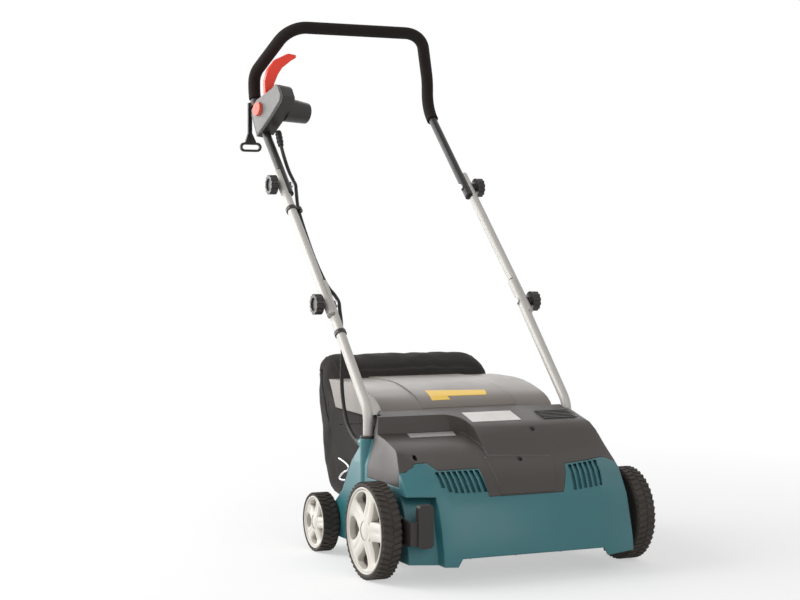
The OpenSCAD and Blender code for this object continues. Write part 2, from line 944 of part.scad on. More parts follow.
module rear_flap() {
    color([0.5, 0.48, 0.45])
    placed()
        difference() {
            union() {
                along_x(-flap_w, flap_w) {
                    polygon(band(flap_line, flap_t));
                    translate(flap_pin)
                        circle(r = barrel_r);
                }
                along_x(-95 * kx, 102 * kx)
                    polygon(band(concat([(flap_line[0] + flap_line[1]) / 2 + [0, flap_rise / 2]],
                        [for (i = [1 : len(flap_line) - 1]) flap_line[i] + [0, flap_rise]]), flap_t));
                for (side = [-1, 1])
                    along_x(side * (flap_w - flap_skirt / 2) - flap_skirt / 2,
                        side * (flap_w - flap_skirt / 2) + flap_skirt / 2)
                        polygon(concat([for (i = [1 : len(flap_line) - 1]) flap_line[i] - [0, flap_t / 2]],
                            [[flap_pin[0] + flap_len - 12, 300], [flap_pin[0] + flap_len - 33, 266],
                                [207, 264], [160, 271]]));
            }
            bar_x(-flap_w - 10, flap_w + 10, flap_pin[0], flap_pin[1], flap_pin_d / 2 + run_gap);
        }
}

module flap_pin_rod() {
    color([0.6, 0.6, 0.62])
    placed()
        bar_x(-flap_w - 8, flap_w + 8, flap_pin[0], flap_pin[1], flap_pin_d / 2);
}

// Handle tubes

lower_dir = [sin(lower_lean), cos(lower_lean)];
middle_dir = [sin(middle_lean), cos(middle_lean)];
knee_r = 50;
knee_t = knee_r * tan(lower_lean / 2);

module arc_tube(x, c, r, a0, a1, tube_r) {
    translate([x, c[0], c[1]])
        rotate([90, 0, 90])
            rotate([0, 0, a0])
                rotate_extrude(angle = a1 - a0)
                    translate([r, 0])
                        circle(r = tube_r);
}

// Slab beside a joint that presses a tube flat, from one length along the tube to another
module joint_flat(joint, lean, x0, x1, s0, s1) {
    translate([0, joint[0], joint[1]])
        rotate([-lean, 0, 0])
            translate([x0, -20, s0])
                cube([x1 - x0, 40, s1 - s0]);
}

// Straight and bent lengths of tube
module tube_between(x, a, b, r, t) {
    difference() {
        bar_between(x, a, b, r);
        bar_between(x, a - unit(b - a), b + unit(b - a), r - t);
    }
}

// A bend runs a little way inside the wall of the straight length at either end
module tube_bend(x, c, bend_r, a0, a1, r, t) {
    difference() {
        arc_tube(x, c, bend_r, a0 - 1, a1 + 1, r - wall_gap);
        arc_tube(x, c, bend_r, a0 - 2, a1 + 2, r - t + wall_gap);
    }
}

// Drain hole through the underside of a tube
module drain(x, at) {
    translate([x, at[0], at[1] - 20])
        cylinder(r = drain_r, h = 20);
}

module lower_tube_right() {
    start = knee + knee_t * lower_dir;
    color([0.72, 0.71, 0.69])
    placed() {
        tube_between(lower_x, [socket_y, pillar_top_z - socket_depth + 1], knee - [0, knee_t],
            tube_d / 2, tube_wall);
        tube_bend(lower_x, knee + [knee_r, -knee_t], knee_r, 180 - lower_lean, 180, tube_d / 2, tube_wall);
        difference() {
            bar_between(lower_x, start, joint_low + lower_end * lower_dir, tube_d / 2);
            bar_between(lower_x, start - lower_dir, joint_low - (middle_low_end + plug_extra) * lower_dir,
                tube_d / 2 - tube_wall);
            joint_flat(joint_low, lower_lean, flat_x, flat_x + 30, -middle_low_end - flat_extra,
                lower_end + 20);
            bar_x(lower_x - 30, lower_x + 30, joint_low[0], joint_low[1], bolt_d / 2 + run_gap);
        }
    }
}

module lower_tube_left() {
    mirror([1, 0, 0])
        lower_tube_right();
}

module tube_collars() {
    color([0.12, 0.12, 0.12])
    placed()
        for (side = [-1, 1])
            translate([side * lower_x, socket_y, pillar_top_z + 0.1])
                difference() {
                    cylinder(r = collar_d / 2, h = collar_h);
                    translate([0, 0, -1])
                        cylinder(r = tube_d / 2 + 0.1, h = collar_h + 2);
                }
}

module middle_tube_right() {
    low = joint_low - middle_low_end * middle_dir;
    high = joint_high + middle_high_end * middle_dir;
    hollow_from = joint_low + (lower_end + plug_extra) * middle_dir;
    hollow_to = joint_high - (upper_end + plug_extra) * middle_dir;
    color([0.72, 0.71, 0.69])
    placed()
        difference() {
            bar_between(tube_x, low, high, tube_d / 2);
            bar_between(tube_x, hollow_from, hollow_to, tube_d / 2 - tube_wall);
            drain(tube_x, hollow_from + 12 * middle_dir);
            joint_flat(joint_low, middle_lean, flat_x - 30, flat_x + flat_gap,
                -middle_low_end - 10, lower_end + flat_extra);
            joint_flat(joint_high, middle_lean, flat_x - 30, flat_x + flat_gap,
                -upper_end - flat_extra, middle_high_end + 10);
            bar_x(tube_x - 30, tube_x + 30, joint_low[0], joint_low[1], bolt_d / 2 + run_gap);
            bar_x(tube_x - 30, tube_x + 30, joint_high[0], joint_high[1], bolt_d / 2 + run_gap);
        }
}

module middle_tube_left() {
    mirror([1, 0, 0])
        middle_tube_right();
}

// Arm of the grip loop from the top of the right leg, in lengths that meet end to end
module grip_arm(r, t) {
    translate([upper_x, bend_high[0], bend_high[1]])
        rotate([0, 0, -arm_turn]) {
            tube_between(0, [0, 0], [0, arm_rise], r, t);
            tube_bend(0, [-arm_bend_r, arm_rise], arm_bend_r, 0, arm_lean, r, t);
            tube_between(0, arm_bend_end, arm_end, r, t);
        }
    translate([bar_half, loop_y, loop_z])
        rotate([loop_tilt, 0, 0])
            translate([0, 0, corner_rise - corner_r])
                rotate([0, 0, -90])
                    tube_bend(0, [0, 0], corner_r, corner_from, 90, r, t);
}

module grip_loop(r, t) {
    for (side = [0, 1])
        mirror([side, 0, 0])
            grip_arm(r, t);
    translate([0, loop_y, loop_z])
        rotate([loop_tilt, 0, 0])
            difference() {
                bar_x(-bar_half, bar_half, 0, corner_rise, r);
                bar_x(-bar_half - 1, bar_half + 1, 0, corner_rise, r - t);
            }
}

// Straight leg of the upper tube with its flattened and drilled end
module upper_leg_right() {
    hollow_from = joint_high + (middle_high_end + plug_extra) * middle_dir;
    difference() {
        bar_between(upper_x, joint_high - upper_end * middle_dir, bend_low, upper_tube_d / 2);
        bar_between(upper_x, hollow_from, bend_low + middle_dir, upper_tube_d / 2 - tube_wall);
        drain(upper_x, hollow_from + 12 * middle_dir);
        joint_flat(joint_high, middle_lean, flat_x, flat_x + 30, -upper_end - 10,
            middle_high_end + flat_extra);
        bar_x(upper_x - 30, upper_x + 30, joint_high[0], joint_high[1], bolt_d / 2 + run_gap);
    }
}

module upper_tube() {
    color([0.1, 0.1, 0.1])
    placed() {
        upper_leg_right();
        mirror([1, 0, 0])
            upper_leg_right();
        for (side = [-1, 1])
            tube_bend(side * upper_x, bend_c, upper_bend_r, -middle_lean, 0, upper_tube_d / 2, tube_wall);
        grip_loop(upper_tube_d / 2, tube_wall);
    }
}

module foam_grip() {
    foam_t = (grip_d - upper_tube_d) / 2 - grip_gap;
    color([0.13, 0.11, 0.1])
    placed() {
        grip_loop(grip_d / 2, foam_t);
        tube_bend(upper_x, bend_c, upper_bend_r, -middle_lean, 0, grip_d / 2, foam_t);
        tube_bend(-upper_x, bend_c, upper_bend_r, -foam_left_angle, 0, grip_d / 2, foam_t);
    }
}

// Knobs and their bolts

module knob(joint) {
    color([0.13, 0.13, 0.13])
    placed()
        translate([tube_x + tube_d / 2 + knob_gap, joint[0], joint[1]])
            rotate([0, 90, 0])
                difference() {
                    union() {
                        cylinder(r = 9, h = 6);
                        translate([0, 0, 5])
                            cylinder(r = knob_d / 2, h = knob_t - 5);
                    }
                    for (i = [0 : knob_flutes - 1])
                        rotate([0, 0, i * 360 / knob_flutes])
                            translate([knob_d / 2 + 1.2, 0, 7])
                                cylinder(r = 3.2, h = knob_t);
                    translate([0, 0, -1])
                        cylinder(r = bolt_d / 2 + run_gap, h = 14);
                    translate([0, 0, knob_t - 3])
                        cylinder(r = knob_d * 0.32, h = 5);
                }
}

module knob_low_right() {
    knob(joint_low);
}

module knob_high_right() {
    knob(joint_high);
}

module knob_low_left() {
    mirror([1, 0, 0])
        knob(joint_low);
}

module knob_high_left() {
    mirror([1, 0, 0])
        knob(joint_high);
}

module bolts(joint, face_x) {
    color([0.6, 0.6, 0.62])
    placed()
        for (side = [0, 1])
            mirror([side, 0, 0]) {
                bar_x(face_x - 1, tube_x + tube_d / 2 + 11, joint[0], joint[1], bolt_d / 2);
                bar_x(face_x - head_t, face_x, joint[0], joint[1], head_d / 2);
            }
}

module bolts_low() {
    bolts(joint_low, lower_x - tube_d / 2);
}

module bolts_high() {
    bolts(joint_high, upper_x - upper_tube_d / 2);
}

// Switch box and controls. The box is drawn round the left leg of the upper tube in its own
// axes: X through the thickness, Y to the rear and Z up, turned a little to face outwards.

box_at = bend_low - 40.3 * middle_dir;
box_home = [-upper_x, box_at[0], box_at[1]];
box_turn = [0, 7, 10];
face_line = [[21, 31], [3, 53], [-18, 60], [-54, 73], [-69, 82], [-79, 77], [-94, 58], [-93, 45], [-63, 16],
    [-22, -18], [-12, -16]];
box_line = concat([[32, 23]], face_line, [[-1, -24]]);
plate_x = -22;
plate_t = 8;
plate_gap = 0.2;
box_x1 = box_depth + plate_x;
inlet_c = [-52, 36];
inlet_wall = 4;
inlet_taper = 4;
pin_pitch = 19;
pin_out = 19;
pin_lift = 1;
pin_root_r = inlet_pin_d / 2 - 0.5;
button_c = [-12, 32];
button_proud = 7;
button_in = plate_t - button_travel - 0.5;
lever_home = [-upper_x + 6, box_at[0] - 12.9, box_at[1] + 51];
lever_line = [[0, 0], [0, 16], [1, 41], [9, 63], [22, 80], [46, 95], [60, 97]];
lever_half = [8, 8.4, 11, 12, 11, 8, 3];
squeeze_t = 12;
lever_hub_r = 7;
lever_pin_r = 3;
lever_room = 0.6;
hook_turn = 30;
hook_ring_r = 13.5;
hook_bore_r = upper_tube_d / 2 + 0.6;
hook_c = [-12, -90];
hook_t = 6;

module at_box() {
    placed()
        translate(box_home)
            rotate(box_turn)
                children();
}

module at_lever() {
    placed()
        translate(lever_home)
            children();
}

// Space in which the start lever swings
module lever_slot() {
    translate([-lever_half[0] - lever_room, -lever_hub_r - 1, -lever_hub_r - 1])
        cube([2 * (lever_half[0] + lever_room), 22, 60]);
}

module switch_front() {
    color([0.42, 0.42, 0.42])
    at_box()
        difference() {
            along_x(plate_x, plate_x + plate_t)
                polygon(face_line);
            bar_x(plate_x - 1, plate_x + plate_t + 1, button_c[0], button_c[1], button_d / 2 + run_gap);
        }
}

module switch_back() {
    color([0.14, 0.14, 0.14])
    placed()
        difference() {
            translate(box_home)
                rotate(box_turn)
                    difference() {
                        along_x(plate_x + plate_t + plate_gap, box_x1)
                            polygon(box_line);
                        along_x(plate_x + plate_t - 1, box_x1 - wall)
                            polygon([[-38, 60], [-66, 70], [-84, 56], [-60, 24], [-34, 6]]);
                    }
            bar_between(-upper_x, joint_high, bend_low + 40 * middle_dir, upper_tube_d / 2 + 0.15);
            translate(lever_home) {
                lever_slot();
                bar_x(-lever_half[0] - 3, lever_half[0] + 5, 0, 0, lever_pin_r + 0.02);
            }
        }
}

module inlet_shroud() {
    color([0.08, 0.08, 0.08])
    at_box()
        translate([box_x1 + plate_gap, inlet_c[0], inlet_c[1]])
            rotate([0, 90, 0])
                difference() {
                    cylinder(r1 = inlet_d / 2, r2 = inlet_d / 2 - inlet_taper, h = inlet_len);
                    translate([0, 0, inlet_wall])
                        cylinder(r = inlet_d / 2 - inlet_taper - inlet_wall, h = inlet_len);
                    for (s = [-1, 1])
                        translate([0, s * pin_pitch / 2, -1])
                            cylinder(r = pin_root_r + 0.01, h = inlet_wall + 2);
                }
}

module inlet_pins() {
    color([0.75, 0.7, 0.5])
    at_box()
        for (s = [-1, 1])
            translate([box_x1 + plate_gap, inlet_c[0] + s * pin_pitch / 2, inlet_c[1]]) {
                bar_x(0.1, inlet_wall + pin_lift + 3, 0, 0, pin_root_r);
                bar_x(inlet_wall + pin_lift, inlet_wall + pin_out, 0, 0, inlet_pin_d / 2);
            }
}

// Outline of a strip that follows a line with a half width at every point
function strip(line, w) = concat(
    [for (i = [0 : len(line) - 1])
        let (d = unit(line[min(i + 1, len(line) - 1)] - line[max(i - 1, 0)]))
        line[i] + w[i] * [-d[1], d[0]]],
    [for (i = [len(line) - 1 : -1 : 0])
        let (d = unit(line[min(i + 1, len(line) - 1)] - line[max(i - 1, 0)]))
        line[i] - w[i] * [-d[1], d[0]]]);

module switch_lever() {
    color([0.85, 0.12, 0.06])
    at_lever()
        difference() {
            union() {
                along_y(-squeeze_t / 2, squeeze_t / 2)
                    polygon(strip(lever_line, lever_half));
                bar_x(-lever_half[0], lever_half[0], 0, 0, lever_hub_r);
            }
            bar_x(-lever_half[0] - 1, lever_half[0] + 1, 0, 0, lever_pin_r + run_gap);
        }
}

module lever_pin() {
    color([0.6, 0.6, 0.62])
    at_lever()
        bar_x(-lever_half[0] - 2, lever_half[0] + 4.5, 0, 0, lever_pin_r);
}

module lock_button() {
    color([0.9, 0.3, 0.2])
    at_box()
        bar_x(plate_x - button_proud, plate_x + button_in, button_c[0], button_c[1], button_d / 2);
}

function stadium(c, w, h) = concat(
    arc_points(c + [(w - h) / 2, 0], h / 2, -90, 90, 12),
    arc_points(c - [(w - h) / 2, 0], h / 2, 90, 270, 12));

// Hook whose ring sits on the bend of the tube
module cord_hook() {
    ring_at = bend_c + upper_bend_r * [cos(hook_turn), -sin(hook_turn)];
    color([0.1, 0.1, 0.1])
    placed()
        translate([-upper_x, ring_at[0], ring_at[1]])
            difference() {
                union() {
                    rotate([-hook_turn, 0, 0])
                        cylinder(r = hook_ring_r, h = 11, center = true);
                    along_y(-hook_t / 2, hook_t / 2)
                        polygon([[-18.5, 4], [-9.6, 4], [-9.6, -60], [2, -84], [-26, -84], [-18.5, -60]]);
                    along_y(-hook_t / 2, hook_t / 2)
                        polygon(stadium(hook_c, 48, 20));
                }
                rotate([-hook_turn, 0, 0])
                    cylinder(r = hook_bore_r, h = 30, center = true);
                along_y(-hook_t, hook_t)
                    polygon(stadium(hook_c, 38, 10));
            }
}

// Motor cable, swept along its route

function side_of(t) = unit([1, 0, 0] - t[0] * t);

module sweep(line, r, n) {
    last = len(line) - 1;
    rings = [for (i = [0 : last])
        let (t = unit(line[min(i + 1, last)] - line[max(i - 1, 0)]))
        let (a = side_of(t), b = cross(t, side_of(t)))
        for (k = [0 : n - 1]) line[i] + r * (cos(k * 360 / n) * a + sin(k * 360 / n) * b)];
    walls = [for (i = [0 : last - 1]) for (k = [0 : n - 1])
        [i * n + k, (i + 1) * n + k, (i + 1) * n + (k + 1) % n, i * n + (k + 1) % n]];
    polyhedron(rings, concat([[for (k = [0 : n - 1]) k]], walls,
        [[for (k = [n - 1 : -1 : 0]) last * n + k]]));
}

// Points eased through a coarse route
function eased(p, n) = concat([for (i = [0 : len(p) - 2]) for (k = [0 : n - 1])
    let (a = p[max(i - 1, 0)], b = p[i], c = p[i + 1], d = p[min(i + 2, len(p) - 1)], t = k / n)
    let (e = 2 * a - 5 * b + 4 * c - d, f = 3 * b - a - 3 * c + d)
    0.5 * (2 * b + (c - a) * t + e * t * t + f * t * t * t)],
    [p[len(p) - 1]]);

// Point at a depth inside the left flank of the machine and an offset from a joint
function inside(depth, joint, dy, dz) = [depth - half_w, joint[0] + dy, joint[1] + dz];

relief_top = box_home + [17, -43.5, -13];
relief_low = box_home + [17, -60, -43];
gland_at = inside(14, knee, 34, -61);
gland_len = 20;
relief_r = 6;
cable_gap = 0.5;
clip_h = 8;
clip_t = 2.2;
clip_room = 1.6;
route_upper = [relief_low - cable_gap * [0, 1, 1], relief_low - [1, 22, 25],
    inside(37, joint_high, 39, 30), inside(43, joint_high, 22, 11), inside(43.5, joint_high, 3, -3)];
route_middle = [inside(34.5, joint_high, 6, 2), inside(33, joint_high, -9, -13),
    inside(22, joint_high, -52, -50), inside(20, joint_high, -94, -95), inside(20, joint_low, 113, 95),
    inside(20, joint_low, 73, 60), inside(24, joint_low, 43, 32), inside(31, joint_low, 25, 16),
    inside(32, joint_low, 8, 4)];
route_lower = [inside(32, joint_low, 5.5, 2), inside(29, joint_low, -6, -13),
    inside(25, joint_low, -23, -36), inside(17, knee, 143, 128), inside(17, knee, 137, 103),
    inside(17, knee, 140, 65), inside(17, knee, 138, 27), inside(17, knee, 127, -9),
    inside(16, knee, 109, -35), inside(15, knee, 84, -51), inside(14, knee, 66, -58),
    gland_at + [0, gland_len - 3, 0]];

module cable_relief() {
    color([0.09, 0.09, 0.09])
    placed()
        translate(relief_low)
            rotate([-atan2(relief_top[1] - relief_low[1], relief_top[2] - relief_low[2]), 0, 0])
                difference() {
                    union() {
                        cylinder(r = relief_r, h = norm(relief_top - relief_low));
                        for (i = [0 : 2])
                            translate([0, 0, 8 + i * 9])
                                cylinder(r = relief_r + 1, h = 4);
                    }
                    translate([0, 0, -1])
                        cylinder(r = 4, h = 8);
                }
}

module cable(route) {
    color([0.07, 0.07, 0.07])
    placed()
        sweep(eased(route, 4), cable_d / 2 - 0.3, 10);
}

module cable_upper() {
    cable(route_upper);
}

module cable_middle() {
    cable(route_middle);
}

module cable_lower() {
    cable(route_lower);
}

module cable_gland() {
    color([0.09, 0.09, 0.09])
    placed()
        translate(gland_at)
            difference() {
                union() {
                    bar_y(0.2, gland_len, 0, 0, 7);
                    bar_y(0.2, 6, 0, 0, 9);
                }
                bar_y(gland_len - 4, gland_len + 5, 0, 0, 4.2);
            }
}

// Clip that holds the cable against a tube
module clip(joint, lean, x, s, dx, dy) {
    color([0.1, 0.1, 0.1])
    placed()
        translate([x, joint[0], joint[1]])
            rotate([-lean, 0, 0])
                translate([0, 0, s])
                    difference() {
                        union() {
                            cylinder(r = tube_d / 2 + clip_t, h = clip_h);
                            translate([dx, dy, 0])
                                cylinder(r = cable_d / 2 + clip_room + clip_t, h = clip_h);
                        }
                        translate([0, 0, -1])
                            cylinder(r = tube_d / 2 + 0.05, h = 20);
                        translate([dx, dy, -1])
                            cylinder(r = cable_d / 2 + clip_room, h = 20);
                    }
}

module clip_middle() {
    clip(joint_low, middle_lean, -tube_x, 262, 15, 0.5);
}

module clip_lower() {
    clip(knee, lower_lean, -lower_x, 186, 6, 13);
}

// Collector

bag_line = [mouth_top, [180, 272], [204, 289], [262, 300], [380, 304], [396, 318], [404, 342],
    [420, bag_top_z - 4],
    [470, bag_top_z], [bag_rear_y - 8, bag_top_z - 1], [bag_rear_y, bag_top_z - 14], [bag_rear_y - 12, 280],
    [472, 190], [442, 112], [424, 92], [400, 85], [322, 90], mouth_low];

module bag_cloth() {
    color([0.12, 0.11, 0.1])
    placed()
        difference() {
            along_x(-bag_w, bag_w)
                polygon(bag_line);
            along_x(-bag_w + cloth_t, bag_w - cloth_t) {
                polygon(inset(bag_line, cloth_t));
                polygon([mouth_top + [-20, -4], mouth_top + [16, 6], mouth_low + [6, 4],
                    mouth_low + [-20, 2]]);
            }
        }
}

module bag_frame() {
    top = mouth_top + [-6, -2];
    low = mouth_low + [-8, 0];
    side_x = bag_w - 6;
    peg = top + (low - top) * 0.5;
    color([0.3, 0.3, 0.31])
    placed() {
        bar_x(-side_x, side_x, top[0], top[1], rod_d / 2);
        bar_x(-side_x, side_x, low[0], low[1], rod_d / 2);
        for (side = [-1, 1]) {
            bar_between(side * side_x, top, low, rod_d / 2);
            bar_x(side > 0 ? side_x : -side_x - 26, side > 0 ? side_x + 26 : -side_x, peg[0], peg[1],
                rod_d / 2);
            for (p = [top, low])
                bar_x(side * side_x - 5, side * side_x + 5, p[0], p[1], rod_d * 0.8);
        }
    }
}

lower_housing();
top_cover();
badge_plate();
cover_screws();
motor_case();
motor_rotor();
motor_pulley();
drive_belt();
reel_shaft();
reel_blades();
reel_spacers();
reel_bearings();
reel_pulley();
front_axle();
depth_lever();
front_rim_left();
front_tyre_left();
front_rim_right();
front_tyre_right();
rear_axle();
rear_rim_left();
rear_tyre_left();
rear_rim_right();
rear_tyre_right();
rear_flap();
flap_pin_rod();
lower_tube_left();
lower_tube_right();
tube_collars();
middle_tube_left();
middle_tube_right();
upper_tube();
foam_grip();
knob_low_left();
knob_low_right();
knob_high_left();
knob_high_right();
bolts_low();
bolts_high();
switch_front();
switch_back();
inlet_shroud();
inlet_pins();
switch_lever();
lever_pin();
lock_button();
cord_hook();
cable_relief();
cable_upper();
cable_middle();
cable_lower();
cable_gland();
clip_middle();
clip_lower();
bag_cloth();
bag_frame();
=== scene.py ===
"""Looks of an electric lawn dethatcher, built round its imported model.

Lengths written as whole numbers are millimetres in the machine's own axes: X along the axles,
Y to the rear from the front axle and Z up from the ground.
"""

import json
import math
from collections import namedtuple

import bmesh
import bpy
import numpy as np
from mathutils import Matrix, Vector, noise


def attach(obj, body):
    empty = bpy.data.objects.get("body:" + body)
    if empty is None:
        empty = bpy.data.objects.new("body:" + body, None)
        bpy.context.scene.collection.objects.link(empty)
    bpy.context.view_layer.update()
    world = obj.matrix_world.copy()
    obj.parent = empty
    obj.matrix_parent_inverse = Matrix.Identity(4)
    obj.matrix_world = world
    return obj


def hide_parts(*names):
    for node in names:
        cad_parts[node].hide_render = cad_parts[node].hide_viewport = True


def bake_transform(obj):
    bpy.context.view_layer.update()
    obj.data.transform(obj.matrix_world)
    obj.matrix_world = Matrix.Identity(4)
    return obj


bl_info = {
    "name": "Lawn dethatcher looks",
    "version": (1, 0, 0),
    "blender": (4, 5, 0),
    "location": "View3D > Sidebar > Dethatcher",
    "description": "Dresses the packed lawn dethatcher in its finishes and soft pieces",
    "category": "Object",
}

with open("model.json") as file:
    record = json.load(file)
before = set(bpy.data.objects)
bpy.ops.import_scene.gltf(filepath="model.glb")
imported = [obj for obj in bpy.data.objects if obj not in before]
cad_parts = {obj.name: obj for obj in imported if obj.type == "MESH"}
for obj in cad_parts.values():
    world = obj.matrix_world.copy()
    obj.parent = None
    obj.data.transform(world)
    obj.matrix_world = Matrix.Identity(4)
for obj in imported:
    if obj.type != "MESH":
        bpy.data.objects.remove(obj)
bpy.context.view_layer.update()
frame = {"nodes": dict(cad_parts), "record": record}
NODES = frame["nodes"]
SLOT = {s["node"]: s["material_slot"] for s in frame["record"]["subparts"]}
BODY = {node: body for body, members in frame["record"]["behaviour"]["bodies"].items()
        for node in members}
FRAME_BACK = 324
FINISHES = {}
SIDES = (("left", -1), ("right", 1))
WHITE = (1, 1, 1, 1)


def at(x, y, z):
    """Point of the frame, in metres, from millimetres in the machine's own axes."""
    return Vector((x, y - FRAME_BACK, z)) / 1000


def ramp(value, start, run):
    """Share from 0 to 1 of the way along a run."""
    return min(1.0, max(0.0, (value - start) / run))


def tint(red, green, blue):
    """Linear colour of a screen colour written from 0 to 255."""
    def linear(c):
        c /= 255
        return c / 12.92 if c <= 0.04045 else ((c + 0.055) / 1.055) ** 2.4
    return tuple(linear(c) for c in (red, green, blue))


def shade(colour, by):
    """Colour made lighter or darker by a factor."""
    return tuple(min(1.0, c * by) for c in colour[:3])


def paler(colour, keep, lift):
    """Colour of worn edges: a share of the colour itself, lifted towards white."""
    return [keep * c + lift for c in colour[:3]]


# Finishes


def add_node(tree, kind, inputs, **settings):
    """New node of a tree, with its settings made and its inputs linked or filled in."""
    node = tree.nodes.new(kind)
    for key, value in settings.items():
        setattr(node, key, value)
    for key, value in inputs.items():
        if isinstance(value, bpy.types.NodeSocket):
            tree.links.new(value, node.inputs[key])
        else:
            node.inputs[key].default_value = value
    return node


def seen_share(tree):
    """1 for rays that come from the camera, straight or by way of gloss or glass, and else 0."""
    rays = add_node(tree, "ShaderNodeLightPath", {}).outputs
    seen = rays["Is Camera Ray"]
    for ray in ("Is Glossy Ray", "Is Transmission Ray"):
        either = add_node(tree, "ShaderNodeMath", {0: seen, 1: rays[ray]}, operation="MAXIMUM")
        seen = either.outputs[0]
    return seen


class Finish:
    """A material, and the nodes added to it one by one."""

    def __init__(self, name, colour, rough, metal=0.0, gloss=0.5, sockets=None):
        self.material = bpy.data.materials.new(name)
        self.material.use_nodes = True
        self.tree = self.material.node_tree
        self.shader = self.tree.nodes["Principled BSDF"]
        self.shader.inputs["Base Color"].default_value = (*colour[:3], 1)
        self.shader.inputs["Roughness"].default_value = rough
        self.shader.inputs["Metallic"].default_value = metal
        self.shader.inputs["Specular IOR Level"].default_value = gloss
        for key, value in (sockets or {}).items():
            self.shader.inputs[key].default_value = value
        self.material.diffuse_color = (*colour[:3], 1)
        self.place = self.tree.nodes.new("ShaderNodeTexCoord").outputs["Object"]
        self.round = None

    def add(self, kind, inputs, **settings):
        return add_node(self.tree, "ShaderNode" + kind, inputs, **settings)

    def link(self, socket, value):
        self.tree.links.new(value, self.shader.inputs[socket])

    def noise(self, scale, detail, stretch=None):
        place = self.place
        if stretch:
            place = self.add("Mapping", {"Vector": place, "Scale": stretch}).outputs[0]
        node = self.add("TexNoise", {"Vector": place, "Scale": scale, "Detail": detail})
        return node.outputs["Fac"]

    def level(self, value, low, high, start=0.3, end=0.7):
        """Value brought from one range to another."""
        node = self.add("MapRange", {"Value": value, "From Min": start, "From Max": end,
                                     "To Min": low, "To Max": high})
        return node.outputs[0]

    def mix(self, share, a, b):
        four = [c if isinstance(c, bpy.types.NodeSocket) else (*c[:3], 1) for c in (a, b)]
        node = self.add("Mix", {0: share, 6: four[0], 7: four[1]}, data_type="RGBA")
        return node.outputs[2]

    def mottled(self, cloud, colour, low, high):
        """Colour that a cloud makes darker and lighter."""
        return self.mix(self.level(cloud, 0, 1), shade(colour, low), shade(colour, high))

    def edges(self, amount, radius):
        """Share of wear, strongest where faces meet at an edge, broken up by a cloud."""
        self.round = self.add("Bevel", {"Radius": radius}, samples=4).outputs[0]
        flat = self.add("NewGeometry", {}).outputs["Normal"]
        turn = self.add("VectorMath", {0: self.round, 1: flat}, operation="DOT_PRODUCT")
        worn = self.level(turn.outputs["Value"], amount, 0.0, start=0.86, end=0.99)
        broken = self.level(self.noise(90, 3), 0.35, 1.0)
        return self.add("Math", {0: worn, 1: broken}, operation="MULTIPLY").outputs[0]

    def bump(self, height, strength, depth):
        inputs = {"Height": height, "Strength": strength, "Distance": depth}
        if self.round:
            inputs["Normal"] = self.round
        self.link("Normal", self.add("Bump", inputs).outputs[0])


def moulded(name, colour, rough, pitch=1500, grain=0.25, mottle=0.05, wear=0.2, gloss=0.3,
            edge=0.0012):
    """Moulded plastic with a fine spark grain, a slight mottle and paler edges."""
    f = Finish(name, colour, rough, gloss=gloss)
    broad = f.noise(14, 4)
    fine = f.noise(pitch, 2)
    base = f.mottled(broad, colour, 1 - mottle, 1 + mottle)
    f.link("Base Color", f.mix(f.edges(wear, edge), base, paler(colour, 0.6, 0.25)))
    f.link("Roughness", f.level(broad, rough - 0.05, rough + 0.07))
    f.bump(fine, grain, depth=0.0003)
    return f.material


def metal(name, colour, rough, streak=(3, 300, 300), grain=0.08, amount=1.0):
    """Drawn or turned metal with fine streaks."""
    f = Finish(name, colour, rough, metal=amount)
    lines = f.noise(10, 3, streak)
    cloud = f.noise(25, 4)
    base = f.mottled(cloud, colour, 0.9, 1.1)
    f.link("Base Color", f.mix(f.edges(0.35, 0.0006), base, paler(colour, 0.4, 0.5)))
    f.link("Roughness", f.level(lines, rough - 0.07, rough + 0.1))
    f.bump(lines, grain, depth=0.0002)
    return f.material


def coated(name, colour, rough, amount=0.0, grain=0.12):
    """Powder coat with its orange peel."""
    f = Finish(name, colour, rough, metal=amount, gloss=0.35)
    peel = f.noise(650, 1.5)
    cloud = f.noise(12, 3)
    base = f.mottled(cloud, colour, 0.94, 1.05)
    f.link("Base Color", f.mix(f.edges(0.25, 0.0008), base, paler(colour, 0.5, 0.3)))
    f.link("Roughness", f.level(cloud, rough - 0.05, rough + 0.05))
    f.bump(peel, grain, depth=0.0004)
    return f.material


def rubber(name, colour, rough, pitch=420, grain=0.3):
    """Rubber with a bloom of dust in its broad patches."""
    f = Finish(name, colour, rough, gloss=0.2)
    cloud = f.noise(22, 5)
    fine = f.noise(pitch, 3)
    dusty = shade(colour, 1.5)
    f.link("Base Color", f.mix(f.level(cloud, 0.1, 0.9, start=0.35, end=0.7), colour, dusty))
    f.link("Roughness", f.level(fine, rough - 0.08, rough + 0.08))
    f.bump(fine, grain, depth=0.0005)
    return f.material


def foam(name, colour):
    """Closed-cell foam with open pores on its skin."""
    f = Finish(name, colour, 0.82, gloss=0.15)
    pores = f.add("TexVoronoi", {"Vector": f.place, "Scale": 620.0}, feature="F1")
    cloud = f.noise(30, 4)
    f.link("Base Color", f.mottled(cloud, colour, 0.8, 1.35))
    f.link("Roughness", f.level(cloud, 0.74, 0.9))
    f.bump(pores.outputs["Distance"], 0.5, depth=0.0006)
    return f.material


